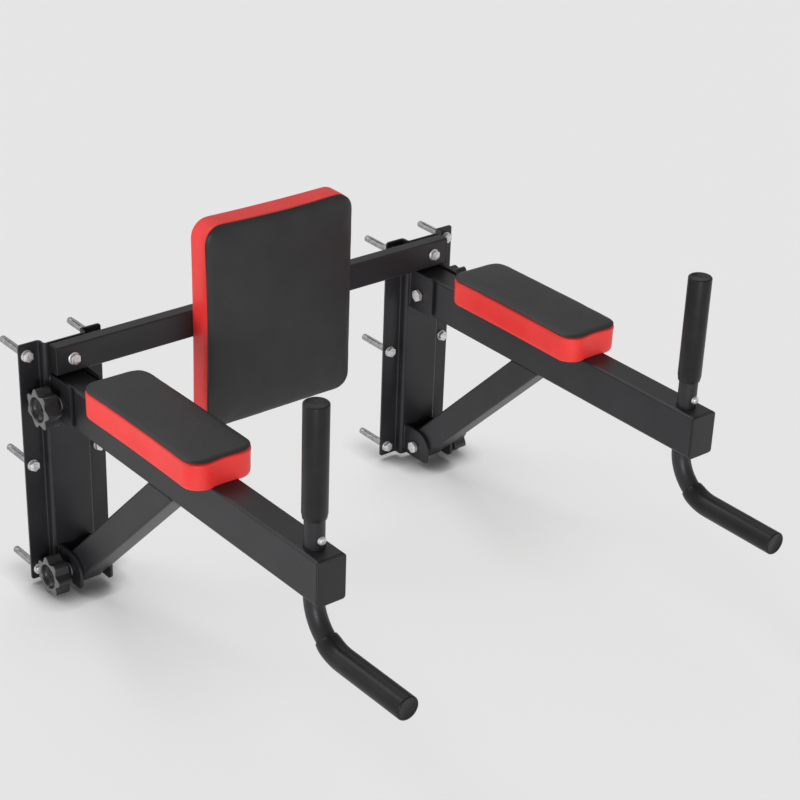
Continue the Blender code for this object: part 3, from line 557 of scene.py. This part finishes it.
barY = -bracket["webFront"] - gap - crossbar["depth"] / 2
barZ = crossbar["top"] - crossbar["height"] / 2
addPiece(
    "crossbarTube",
    boxTube(crossbar["depth"], crossbar["height"], crossbar["corner"], crossbar["wall"], crossbar["length"],
            at(-crossbar["length"] / 2, barY, barZ, (1, 0, 0))),
    "powder_coat", ["crossbar"], edge=crossbar["edge"])
for side, low, sign, centre in eachSide():
    place = at(sign * (crossbar["length"] / 2 + gap), barY, barZ, (sign, 0, 0))
    addPiece(f"crossbarPlug{side}", endPlug(crossbar, crossbar["depth"], crossbar["height"], place),
             "black_plastic", [f"crossbar_plug_{low}"], edge=plug["edge"])
    bolt, nut = flangeBoltAndNut(at(centre, barY, barZ, intoWall))
    addPiece(f"flangeBolt{side}", bolt, "zinc", [f"crossbar_bolt_{low}"])
    addPiece(f"flangeNut{side}", nut, "zinc", [f"crossbar_nut_{low}"])
print("crossbar built")


# Arms, their front plugs and their braces

arm = {
    "width": 0.040, "height": 0.060, "top": 0.305, "front": 0.585, "rear": 0.0175, "wall": 0.002,
    "corner": 0.004, "plugFlange": 0.003, "edge": 0.0004,
}
brace = {
    "size": 0.040, "boltYZ": (-0.040, 0.022), "below": 0.080, "above": 0.420, "foot": 0.003,
    "rearPlay": 0.001, "bead": 0.0021,
}
handle = {
    "y": 0.554, "diameter": 0.025, "bend": 0.060, "screwHeight": 0.013, "screwHead": 0.0104,
    "screwHeadHeight": 0.0048, "screwLength": 0.008, "screwThread": 0.006,
}
handleBore = handle["diameter"] / 2 + gap


def braceTube(centre):
    y, z = brace["boltYZ"]
    climb = Vector((0, -1, 1)).normalized()
    start = Vector((centre, y, z)) - climb * brace["below"]
    edit = boxTube(brace["size"], brace["size"], arm["corner"], arm["wall"], brace["below"] + brace["above"],
                   at(*start, towards=climb))
    top = arm["top"] - arm["height"] - gap
    back = -arm["rear"] - brace["rearPlay"]
    for point, outward, ringed in (
        ((0, 0, top), (0, 0, 1), True),
        ((0, back, 0), (0, 1, 0), True),
        ((0, 0, brace["foot"]), (0, 0, -1), False),
    ):
        bmesh.ops.bisect_plane(
            edit, geom=edit.verts[:] + edit.edges[:] + edit.faces[:], dist=1e-6, plane_co=point,
            plane_no=outward, clear_outer=True)
        bmesh.ops.remove_doubles(edit, verts=edit.verts, dist=1e-6)
        openEdges = [edge for edge in edit.edges if edge.is_boundary]
        if ringed:
            bmesh.ops.bridge_loops(edit, edges=openEdges)
        else:
            bmesh.ops.contextual_create(edit, geom=openEdges)
    return edit


def braceWelds(centre):
    # a bead round the joint, sunk in the groove that the arm's rounded corners leave
    y, z = brace["boltYZ"]
    top = arm["top"] - arm["height"]
    middle = y - (top - z)
    reach = brace["size"] / 2 * math.sqrt(2)
    edit = bmesh.new()
    for hand in (-1, 1):
        x = centre + hand * (arm["width"] / 2 - 0.0012)
        bead(edit, (x, middle - reach + 0.003, top + 0.0006), (x, middle + reach - 0.003, top + 0.0006),
             brace["bead"])
        end = middle + hand * reach
        bead(edit, (centre - 0.017, end, top - 0.0003), (centre + 0.017, end, top - 0.0003), brace["bead"])
    return edit


armZ = arm["top"] - arm["height"] / 2
for side, low, sign, centre in eachSide():
    handleHole = lathe([(handleBore, 0), (handleBore, 2 * arm["height"])],
                       at(centre, -handle["y"], armZ - arm["height"]), 40)
    addPiece(
        f"armTube{side}",
        boxTube(arm["width"], arm["height"], arm["corner"], arm["wall"], arm["front"] - arm["rear"],
                at(centre, -arm["rear"], armZ, fromWall)),
        "powder_coat", [f"arm_{low}"], holes=handleHole, edge=arm["edge"])
    addPiece(
        f"armPlug{side}",
        endPlug(arm, arm["width"], arm["height"], at(centre, -arm["front"] - gap, armZ, fromWall)),
        "black_plastic", [f"arm_plug_{low}"], edge=plug["edge"])
    addPiece(f"braceTube{side}", braceTube(centre), "powder_coat", [f"brace_{low}"], edge=arm["edge"])
    addPiece(f"braceWelds{side}", braceWelds(centre), "powder_coat", [f"brace_{low}"], sharp=60)
print("arms and braces built")


# Handles: a bent tube through each arm, with a rubber grip on either end

grip = {
    "top": 0.487, "length": 0.145, "lowerZ": 0.181, "lowerEnd": 0.730, "lowerLength": 0.153,
    "diameter": 0.031, "taper": 0.006, "lip": 0.0012, "endWall": 0.004, "edge": 0.0018,
}


def routeStation(centre, out, height, angle):
    return at(centre, -out, height, (0, -math.sin(angle), -math.cos(angle)))


def bendStation(centre, angle):
    out = handle["y"] + handle["bend"] * (1 - math.cos(angle))
    return routeStation(centre, out, grip["lowerZ"] + handle["bend"] * (1 - math.sin(angle)), angle)


def handleTube(centre):
    radius = handle["diameter"] / 2
    stations = [(routeStation(centre, handle["y"], grip["top"] - grip["endWall"] - gap, 0), radius)]
    stations += [(bendStation(centre, quarter * step / 14), radius) for step in range(15)]
    end = grip["lowerEnd"] - grip["endWall"] - gap
    stations.append((routeStation(centre, end, grip["lowerZ"], quarter), radius))
    return sweep(stations, 40)


def gripMouth():
    # distance from the sleeve's inner end and radius, out of the bore, over the lip and up the taper
    lip = handleBore + grip["lip"]
    return [(0.003, handleBore), (0, handleBore), (0, lip), (0.0006, lip + 0.0004),
            (grip["taper"], grip["diameter"] / 2 - 0.0003)]


def gripEnd():
    # distance from the outer end and radius, over a rounded rim and down a shallow ring to the end's face
    radius, edge = grip["diameter"] / 2, grip["edge"]
    rounds = []
    for step in range(5):
        turn = quarter * step / 4
        rounds.append((edge * (1 - math.sin(turn)), radius - edge * (1 - math.cos(turn))))
    return rounds + [(-0.0001, radius - edge - 0.0012), (0.0004, radius - edge - 0.0018)]


def uprightGrip(centre):
    bottom = grip["top"] - grip["length"]
    profile = [(radius, bottom + along) for along, radius in gripMouth()]
    profile.append((grip["diameter"] / 2, bottom + grip["taper"] + 0.001))
    profile += [(radius, grip["top"] - back) for back, radius in gripEnd()]
    return lathe(profile, at(centre, -handle["y"], 0), 44, capStart=False)


def lowerGrip(centre):
    straight = grip["lowerEnd"] - handle["y"] - handle["bend"]
    start = quarter - (grip["lowerLength"] - straight) / handle["bend"]
    tapered = start + grip["taper"] / handle["bend"]
    stations = [(bendStation(centre, start + along / handle["bend"]), radius)
                for along, radius in gripMouth()]
    for step in range(1, 9):
        angle = tapered + (quarter - tapered) * step / 8
        stations.append((bendStation(centre, angle), grip["diameter"] / 2))
    for back, radius in gripEnd():
        stations.append((routeStation(centre, grip["lowerEnd"] - back, grip["lowerZ"], quarter), radius))
    return sweep(stations, 44, capStart=False)


def buttonScrew(place, seat, head, headHeight, thread, tail):
    # a button head with a socket, on local Z
    edit = bmesh.new()
    radius = head / 2
    socket = radius * 0.42
    profile = [(radius, seat), (radius, seat + headHeight * 0.25), (radius * 0.93, seat + headHeight * 0.6),
               (radius * 0.76, seat + headHeight * 0.9), (radius * 0.55, seat + headHeight),
               (socket, seat + headHeight), (socket, seat + headHeight * 0.45)]
    lathe(profile, place, 24, edit)
    lathe([(thread / 2, seat), (thread / 2, tail), (thread / 2 - 0.0006, tail - 0.0006)], place, 20, edit)
    return edit


for side, low, sign, centre in eachSide():
    addPiece(f"handleTube{side}", handleTube(centre), "powder_coat", [f"handle_tube_{low}"])
    addPiece(f"uprightGrip{side}", uprightGrip(centre), "grip_rubber", [f"upright_grip_{low}"], sharp=50)
    addPiece(f"lowerGrip{side}", lowerGrip(centre), "grip_rubber", [f"lower_grip_{low}"], sharp=50)
    screw = buttonScrew(
        at(centre, -handle["y"], arm["top"] + handle["screwHeight"], fromWall), handleBore,
        handle["screwHead"], handle["screwHeadHeight"], handle["screwThread"],
        handleBore - handle["screwLength"])
    addPiece(f"handleScrew{side}", screw, "zinc", [f"handle_screw_{low}"])
print("handles built")


# Fork bolts, washers and star knobs

forkBolt = {
    "thread": 0.010, "flats": 0.016, "headHeight": 0.0064, "washer": 0.020, "washerThickness": 0.002,
    "bore": 0.0106, "engagement": 0.020, "chamfer": 0.0011, "faceRing": 0.0062, "bearing": 0.0075,
    "pitch": 0.0015, "threadDepth": 0.0006, "threadRoom": 0.004,
    "upper": (-0.036, 0.2725), "lower": (-0.040, 0.022),
}
knob = {
    "diameter": 0.056, "lobes": 7, "lobeDepth": 0.007, "lean": 12.5, "thickness": 0.030, "edge": 0.0018,
    "crown": 0.0014, "ring": 0.0028, "dish": 0.0345, "dishDepth": 0.008, "dishLip": 0.0014, "hub": 0.024,
    "hubHeight": 0.008,
}


def hexBolt(place):
    seat = earFace + gap
    tip = earFace + forkBolt["washerThickness"] + forkBolt["engagement"]
    radius = forkBolt["thread"] / 2
    head = -seat - forkBolt["headHeight"]
    face = forkBolt["faceRing"]
    bearing = forkBolt["bearing"]
    plainEnd = seat - forkBolt["threadRoom"]
    edit = lathe(hexProfile(forkBolt["flats"], head, -seat - 0.0004, forkBolt["chamfer"]), place, 6)
    thread = threadProfile(radius, plainEnd, tip - 0.0008, forkBolt["pitch"], forkBolt["threadDepth"])
    # a shallow turned disc on the head, its bearing face, the plain shank and the thread
    for profile in (
        [(face, head + 0.0004), (face - 0.0002, head - 0.0002), (face - 0.0027, head - 0.0003)],
        [(bearing, -seat - 0.0005), (bearing, -seat)],
        [(radius, -seat), (radius, plainEnd)],
        thread + [(radius - forkBolt["chamfer"], tip)],
    ):
        lathe(profile, place, 28, edit)
    return edit


def plainWasher(place):
    outer = forkBolt["washer"] / 2
    inner = forkBolt["bore"] / 2
    thick = forkBolt["washerThickness"]
    profile = [(inner, 0), (outer - 0.0003, 0), (outer, 0.0003), (outer, thick - 0.0003),
               (outer - 0.0003, thick), (inner, thick)]
    return lathe(profile, place, 40, joinEnds=True)


def starKnob(place):
    outer = knob["diameter"] / 2
    thick = knob["thickness"]
    foot = knob["hubHeight"]
    hub = knob["hub"] / 2
    dish = knob["dish"] / 2
    floor = thick - knob["dishDepth"]
    edge = knob["edge"]
    bore = forkBolt["bore"] / 2
    profile = [(bore, 0), (hub - 0.0005, 0), (hub, 0.0005), (hub + 0.0004, foot - 0.0010),
               (hub + 0.0014, foot), (outer - edge, foot)]
    for step in range(1, 5):
        turn = quarter * step / 4
        profile.append((outer - edge * (1 - math.sin(turn)), foot + edge * (1 - math.cos(turn))))
    # the lobes fall away from a raised ring round the dish
    inner = dish + knob["ring"]
    for step in range(9):
        turn = quarter * step / 8
        radius = outer - (outer - inner) * (1 - math.cos(turn))
        profile.append((radius, thick - knob["crown"] * (1 - math.sin(turn))))
    profile += [(dish + 0.0010, thick), (dish + 0.0003, thick - 0.0002), (dish - 0.0004, thick - 0.0009)]
    # a round bowl, from its steep wall down to its floor
    brim = thick - knob["dishLip"]
    for step in range(1, 7):
        turn = quarter * step / 6
        profile.append((dish * (0.66 + 0.30 * math.cos(turn)), brim - (brim - floor) * math.sin(turn)))
    profile += [(bore + 0.0030, floor), (bore + 0.0026, floor + 0.0006),
                (bore + 0.0006, floor + 0.0006), (bore, floor)]
    edit = lathe(profile, origin, 12 * knob["lobes"], joinEnds=True)
    # the valleys between the lobes are drawn in, most at the rim
    for vert in edit.verts:
        reach = vert.co.xy.length
        if reach <= inner:
            continue
        turn = math.atan2(vert.co.y, vert.co.x)
        drawn = knob["lobeDepth"] * (1 - math.cos(knob["lobes"] * turn)) / 2
        vert.co.xy *= (reach - drawn * (reach - inner) / (outer - inner)) / reach
    # the lobes' faces and the ring take a much lighter nylon, painted light for the light they catch, and a
    # little glossier; the sides and the bowl stay darker and matt
    edit.normal_update()
    for face in edit.faces:
        middle = face.calc_center_median()
        onFace = middle.z > thick - 2 * knob["crown"] and face.normal.z > 0.5
        face.material_index = int(onFace and middle.xy.length > dish)
    return moved(edit, place)


washerSeat = earFace + gap
knobSeat = washerSeat + forkBolt["washerThickness"] + gap
for side, low, sign, centre in eachSide():
    for level in ("upper", "lower"):
        y, z = forkBolt[level]
        place = at(centre, y, z, (sign, 0, 0))
        lean = Matrix.Rotation(quarter + math.radians(knob["lean"]), 4, "Z")
        end = f"{level.capitalize()}{side}"
        addPiece(f"forkBolt{end}", hexBolt(place), "zinc", [f"{level}_bolt_{low}"])
        addPiece(f"forkWasher{end}", plainWasher(place @ at(0, 0, washerSeat)), "zinc",
                 [f"{level}_washer_{low}"], body=f"{level}_{low}_washer")
        addPiece(f"starKnob{end}", starKnob(place @ at(0, 0, knobSeat) @ lean), "knob_plastic",
                 [f"{level}_knob_{low}"], knobFacePaintedLit, f"{level}_{low}_knob")
print("fork bolts and knobs built")


# Cushions: sewn vinyl over foam on a plywood board

armCushion = {
    "width": 0.094, "length": 0.255, "edge": 0.035, "crown": 0.0040, "corner": 0.024, "rear": 0.1245,
    "pull": 0.0030, "sag": 0.0026, "margin": 0.024, "cell": 0.0048, "cap": 0.0022, "roll": 0.0005,
    "blackRingsTurnedInAndShaded": 3, "screws": {"rear": 0.190, "front": 0.340},
}
# on the back pad the black reaches one ring further into the seam than on the arm cushions: that ring is the
# red band's groove wall, coloured black as painted shade in the seam groove
backPad = {
    "width": 0.240, "length": 0.296, "edge": 0.035, "crown": 0.0065, "corner": 0.025, "centreZ": 0.333,
    "pull": 0.0028, "sag": -0.0003, "margin": 0.026, "cell": 0.0068, "cap": 0.0028, "roll": -0.0002,
    "blackRingsTurnedInAndShaded": 4, "screwX": 0.060,
}
# the top panel rises just inside its rim, its seam lies between two heights below the rim, and the rings of
# the cover from the board's edge inwards are held
cover = {"rise": 0.0024, "riseWidth": 0.006, "bulge": 2.6, "seam": (0.0001, 0.0017), "heldFrom": 12}
board = {"thickness": 0.012, "inset": 0.006, "raise": 0.0009, "screw": 0.006, "bite": 0.010}
staple = {"width": 0.010, "wire": 0.0012, "thickness": 0.0006, "pitch": 0.034, "inset": 0.015}
clothTest = {"frames": 20, "seamHold": 0.55, "seed": 3.7}
clothSettings = {
    "quality": 6, "mass": 0.4, "tension_stiffness": 30, "compression_stiffness": 30, "shear_stiffness": 15,
    "bending_stiffness": 4, "use_pressure": True, "uniform_pressure_force": 4.0,
}


def onOutline(pad, x, y):
    # where a point of a square grid lies once the corners are rounded
    a, b, radius = pad["width"] / 2, pad["length"] / 2, pad["corner"]
    overX = (abs(x) - (a - radius)) / radius
    overY = (abs(y) - (b - radius)) / radius
    if overX > 0 and overY > 0:
        newX = a - radius + radius * overX * math.sqrt(1 - overY * overY / 2)
        newY = b - radius + radius * overY * math.sqrt(1 - overX * overX / 2)
        return math.copysign(newX, x), math.copysign(newY, y)
    return x, y


def outwardAt(pad, x, y):
    # the outline's outward direction at a point on it, and how far its side is drawn in there
    a, b, radius = pad["width"] / 2, pad["length"] / 2, pad["corner"]
    overX = abs(x) - (a - radius)
    overY = abs(y) - (b - radius)
    if overX > 1e-7 and overY > 1e-7:
        return Vector((math.copysign(overX, x), math.copysign(overY, y))).normalized(), 0.0
    if overX > 1e-7:
        return Vector((math.copysign(1, x), 0)), math.cos(quarter * y / (b - radius))
    return Vector((0, math.copysign(1, y))), math.cos(quarter * x / (a - radius))


def coverRings(pad):
    # how far each ring of the cover is drawn in, its height, and its share of the side's pull
    edge, sag, margin, roll = pad["edge"], pad["sag"], pad["margin"], pad["roll"]
    return [
        (0.0010, edge - 0.0002, 1.0), (0.0034, edge - 0.0007, 1.0), (0.0034, edge - 0.0015, 1.0),
        (0.0006 - roll * 0.6, edge - 0.0024, 1.0), (-roll, edge - 0.0042, 1.0),
        (-roll * 0.7, edge - 0.0058, 1.0), (0.0, edge * 0.76, 1.0), (0.0, edge * 0.64, 1.0),
        (0.0, edge * 0.48, 1.0), (0.0, edge * 0.32, 0.9), (0.0, edge * 0.18, 0.7),
        (0.0, edge * 0.06, 0.5), (0.0006, -sag * 0.45, 0.4), (0.0022, -sag * 0.9, 0.3),
        (0.0052, -sag, 0.2), (0.0100, -sag * 0.7, 0.1), (0.0140, -sag * 0.2, 0.0), (margin * 0.8, 0.0, 0.0),
        (margin, 0.0, 0.0), (margin + 0.0001, 0.0012, 0.0),
    ]


def coverMesh(pad):
    # the top panel as a grid, its rim drawn out into the side band and folded under the board
    edit = bmesh.new()
    basis = edit.verts.layers.float_vector.new("basis")
    bmesh.ops.create_grid(
        edit, x_segments=round(pad["width"] / pad["cell"]), y_segments=round(pad["length"] / pad["cell"]),
        size=0.5)
    bmesh.ops.scale(edit, vec=(pad["width"], pad["length"], 1), verts=edit.verts)
    a, b = pad["width"] / 2, pad["length"] / 2
    rimEdges = [edge for edge in edit.edges if edge.is_boundary]
    for vert in edit.verts:
        x, y = vert.co.xy
        shareX, shareY = 1 - (abs(x) / a) ** cover["bulge"], 1 - (abs(y) / b) ** cover["bulge"]
        near = max(0.0, min(1.0, min(a - abs(x), b - abs(y)) / cover["riseWidth"]))
        vert.co.x, vert.co.y = onOutline(pad, x, y)
        rise = pad["crown"] * math.sqrt(max(0.0, shareX) * max(0.0, shareY))
        vert.co.z = pad["edge"] + cover["rise"] * math.sin(near * quarter) + rise
    for vert in {vert for edge in rimEdges for vert in edge.verts}:
        vert.co.z = pad["edge"] + 0.0002
        vert[basis] = vert.co
    held = []
    ring = rimEdges
    band = []
    for index, (inset, height, share) in enumerate(coverRings(pad)):
        grown = bmesh.ops.extrude_edge_only(edit, edges=ring)["geom"]
        for vert in newVerts(grown):
            x, y = vert[basis].xy
            outward, drawn = outwardAt(pad, x, y)
            spot = Vector((x, y)) - outward * (inset + pad["pull"] * drawn * share)
            vert.co = (spot.x, spot.y, height)
        # the black top panel runs into the seam over the first rings, the rest is the red band; on the back
        # pad the last black ring is painted shade in the groove
        if index >= pad["blackRingsTurnedInAndShaded"]:
            band.extend(item for item in grown if isinstance(item, bmesh.types.BMFace))
        ring = newRing(grown)
        if index >= cover["heldFrom"]:
            held.extend(newVerts(grown))
    least, most = cover["seam"]
    seam = [vert for vert in edit.verts if least < pad["edge"] - vert.co.z < most]
    band.extend(bmesh.ops.contextual_create(edit, geom=ring)["faces"])
    for face in band:
        face.material_index = 1
    turnOutward(edit)
    edit.verts.index_update()
    groups = [vert.index for vert in held], [vert.index for vert in seam]
    edit.verts.layers.float_vector.remove(basis)
    return edit, groups


def swell(piece, pad, held, seam):
    # the cover blown out from inside by the foam, held at the board and drawn back at the seam
    rest = [vert.co.copy() for vert in piece.data.vertices]
    group = piece.vertex_groups.new(name="held")
    group.add(seam, clothTest["seamHold"], "REPLACE")
    group.add(held, 1.0, "REPLACE")
    cloth = piece.modifiers.new("cloth", "CLOTH")
    withSettings(cloth.settings, vertex_group_mass=group.name, **clothSettings)
    cloth.settings.effector_weights.gravity = 0
    cloth.collision_settings.use_collision = False
    withSettings(cloth.point_cache, frame_start=1, frame_end=clothTest["frames"])
    for number in range(1, clothTest["frames"] + 1):
        scene.frame_set(number)
    swollen = evaluatedMesh(piece)
    spots = [vert.co.copy() for vert in swollen.vertices]
    piece.modifiers.clear()
    scene.frame_set(1)
    piece.vertex_groups.clear()
    bpy.data.meshes.remove(swollen)
    furthest = 0.0
    for vert, start, end in zip(piece.data.vertices, rest, spots):
        move = end - start
        furthest = max(furthest, move.length)
        vert.co = start + move / (1 + move.length / pad["cap"])
    print(piece.name, "swelled by up to", round(furthest * 1000, 2), "mm before the cap")


def pucker(piece, pad):
    # small gathers of the vinyl along the seam, fading over a centimetre
    normals = [vert.normal.copy() for vert in piece.data.vertices]
    for vert, normal in zip(piece.data.vertices, normals):
        if vert.co.z < 0.004:
            continue
        rim = min(pad["width"] / 2 - abs(vert.co.x), pad["length"] / 2 - abs(vert.co.y))
        away = max(abs(vert.co.z - pad["edge"]), rim if vert.co.z > pad["edge"] - 0.001 else 0.0)
        fade = math.exp(-away / 0.009)
        gather = noise.noise(vert.co * 55 + Vector((clothTest["seed"], 0, 0)))
        soft = noise.noise(vert.co * 18 + Vector((0, clothTest["seed"], 0)))
        vert.co += normal * (0.0006 * fade * gather + 0.0005 * soft)


def addCover(name, pad, place, node):
    edit, (held, seam) = coverMesh(pad)
    piece = asObject(name, edit)
    swell(piece, pad, held, seam)
    pucker(piece, pad)
    piece.data.transform(place)
    piece.data.materials.append(blackVinyl)
    piece.data.materials.append(redVinyl)
    piece.data.shade_smooth()
    piece.data.set_sharp_from_angle(angle=math.radians(70))
    withSettings(piece.modifiers.new("smooth", "SUBSURF"), levels=1, render_levels=1)
    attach(piece, "station")
    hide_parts(node)


def plyBoard(pad, place):
    edit = bmesh.new()
    inset = board["inset"]
    a, b = pad["width"] / 2 - inset, pad["length"] / 2 - inset
    verts = [edit.verts.new((x, y, board["raise"])) for x, y in ((-a, -b), (a, -b), (a, b), (-a, b))]
    edit.faces.new(verts)
    rounded(edit, verts, pad["corner"] - inset, 6, "VERTICES")
    grown = bmesh.ops.extrude_face_region(edit, geom=edit.faces[:])["geom"]
    bmesh.ops.translate(edit, vec=(0, 0, board["thickness"] - board["raise"]), verts=newVerts(grown))
    turnOutward(edit)
    return moved(edit, place)


def staples(pad, place, skip):
    # crowns of wire staples through the folded margin, square to the rim
    edit = bmesh.new()
    for length, across, turn in ((pad["length"], pad["width"], 0.0), (pad["width"], pad["length"], quarter)):
        straight = length - 2 * pad["corner"]
        count = max(2, round(straight / staple["pitch"]))
        for hand in (-1, 1):
            for number in range(count + 1):
                along = -straight / 2 + straight * number / count
                x = hand * (across / 2 - staple["inset"])
                spot = Vector((x, along, 0))
                spot.rotate(Matrix.Rotation(turn, 3, "Z"))
                if skip(spot):
                    continue
                slant = Matrix.Rotation(turn + 0.25 * math.sin(7.3 * number + hand), 4, "Z")
                local = place @ at(spot.x, spot.y, -staple["thickness"]) @ slant
                roundedBox(staple["wire"], staple["width"], staple["thickness"], 0.0003, local, edit, 2)
    return edit


def panScrew(place, tail):
    # seen from the head's side: a flat button against the tube
    flip = place @ Matrix.Rotation(math.pi, 4, "X")
    return buttonScrew(flip, 0, board["screw"] * 1.8, board["screw"] * 0.55, board["screw"], -tail)


for side, low, sign, centre in eachSide():
    place = at(centre, -armCushion["rear"] - armCushion["length"] / 2, arm["top"] + gap)
    addCover(f"armCushion{side}", armCushion, place, f"arm_cushion_{low}")
    addPiece(f"armCushionBoard{side}", plyBoard(armCushion, place), "plywood", [f"arm_cushion_board_{low}"])
    clear = arm["width"] / 2 + 0.004
    addPiece(f"armCushionStaples{side}", staples(armCushion, place, lambda spot: abs(spot.x) < clear), "zinc")
    for end, out in armCushion["screws"].items():
        underside = arm["top"] - arm["height"] - gap
        screw = panScrew(at(centre, -out, underside), arm["height"] + board["bite"])
        addPiece(f"armCushionScrew{side}{end.capitalize()}", screw, "zinc",
                 [f"arm_cushion_screw_{low}_{end}"])
padPlace = at(0, -bracket["webFront"] - crossbar["depth"] - 2 * gap, backPad["centreZ"], fromWall)
addCover("backPad", backPad, padPlace, "back_pad")
addPiece("backPadBoard", plyBoard(backPad, padPlace), "plywood", ["back_pad_board"])
barSpan = crossbar["height"] / 2 + 0.006
addPiece("backPadStaples",
         staples(backPad, padPlace, lambda spot: abs(spot.y - (barZ - backPad["centreZ"])) < barSpan),
         "zinc")
for side, low, sign, centre in eachSide():
    place = at(sign * backPad["screwX"], -bracket["webFront"], barZ, fromWall)
    addPiece(f"backPadScrew{side}", panScrew(place, crossbar["depth"] + board["bite"]), "zinc",
             [f"back_pad_screw_{low}"])
print("cushions built")


# Floor, light and camera

studio = {
    "floorZ": -0.0062, "floorSize": 30.0, "floorColour": 0x747474, "floorGlow": 0.4525, "floorShade": 0.036,
    "shadePower": 2.6, "horizon": 0xE4E4E4, "overhead": 0x9A9A9A, "fade": 0.30,
}
# softboxes: turn counter-clockwise from +X and height, both in degrees, then strength and spread in degrees
lights = {
    "front": (232, 2, 1.45, 14),
    "side": (138, 25, 0.38, 40),
    "topLeft": (120, 52, 0.52, 16),
    "topBack": (60, 55, 0.38, 40),
    "aboveFloor": (80, 73, 4.2, 42),
}
camera = {
    "place": (-1.51439, -2.16252, 1.53280), "turn": (61.0466, -2.8055, -40.3305), "lens": 93.612,
    "shift": (-0.08663, 0.07790),
}


def paleFloor():
    # an even pale glow of the floor's own, with painted contact shade: ambient occlusion dims the glow where
    # something nearly touches the floor
    made, tree, shader = newMaterial("lit opal acrylic", 0.9, specular=0.0)[:3]
    shader.inputs["Base Color"].default_value = srgb(studio["floorColour"])
    # painted contact shade: the glow is multiplied by ambient occlusion, raised to a power
    near = addNode(tree, "ShaderNodeAmbientOcclusion", {"Distance": studio["floorShade"], "samples": 12})
    deeper = addNode(
        tree, "ShaderNodeGamma", {"Gamma": studio["shadePower"]}, {"Color": near.outputs["Color"]})
    tree.links.new(deeper.outputs["Color"], shader.inputs["Emission Color"])
    shader.inputs["Emission Strength"].default_value = studio["floorGlow"]
    return made


edit = bmesh.new()
bmesh.ops.create_grid(edit, x_segments=1, y_segments=1, size=studio["floorSize"] / 2)
bmesh.ops.translate(edit, vec=(0, 0, studio["floorZ"]), verts=edit.verts)
floor = asObject("studioFloor", edit)
floor.data.materials.append(paleFloor())

world = bpy.data.worlds.new("studio")
world.use_nodes = True
# as pale as the floor where they meet, darker overhead
direction = addNode(world.node_tree, "ShaderNodeTexCoord").outputs["Generated"]
upward = addNode(world.node_tree, "ShaderNodeSeparateXYZ", links={"Vector": direction}).outputs["Z"]
ramp, sky = colourRamp(world.node_tree, upward, studio["horizon"], studio["overhead"], 0, studio["fade"])
ramp.interpolation = "EASE"
world.node_tree.links.new(sky, world.node_tree.nodes["Background"].inputs["Color"])
scene.world = world


def collect(name, starts):
    group = bpy.data.collections.new(name)
    for piece in scene.objects:
        if piece.name.startswith(starts):
            group.objects.link(piece)
    return group


for name, (turn, height, strength, size) in lights.items():
    data = withSettings(bpy.data.lights.new(name, "SUN"), energy=strength, angle=math.radians(size))
    light = bpy.data.objects.new(name, data)
    light.rotation_euler = [0, math.radians(90 - height), math.radians(turn)]
    if name == "aboveFloor":
        # it lights the floor alone, where the brackets and braces throw the photograph's soft shadows
        light.light_linking.receiver_collection = collect("floorOnly", ("studioFloor",))
        light.light_linking.blocker_collection = collect(
            "nearFloor", ("hatSection", "forkPlates", "braceTube"))
    scene.collection.objects.link(light)

cameraData = withSettings(bpy.data.cameras.new("camera"), lens=camera["lens"], sensor_width=36)
cameraData.shift_x, cameraData.shift_y = camera["shift"]
viewer = bpy.data.objects.new("camera", cameraData)
viewer.location = camera["place"]
viewer.rotation_euler = [math.radians(turn) for turn in camera["turn"]]
scene.collection.objects.link(viewer)
scene.camera = viewer
scene.view_settings.view_transform = "Standard"
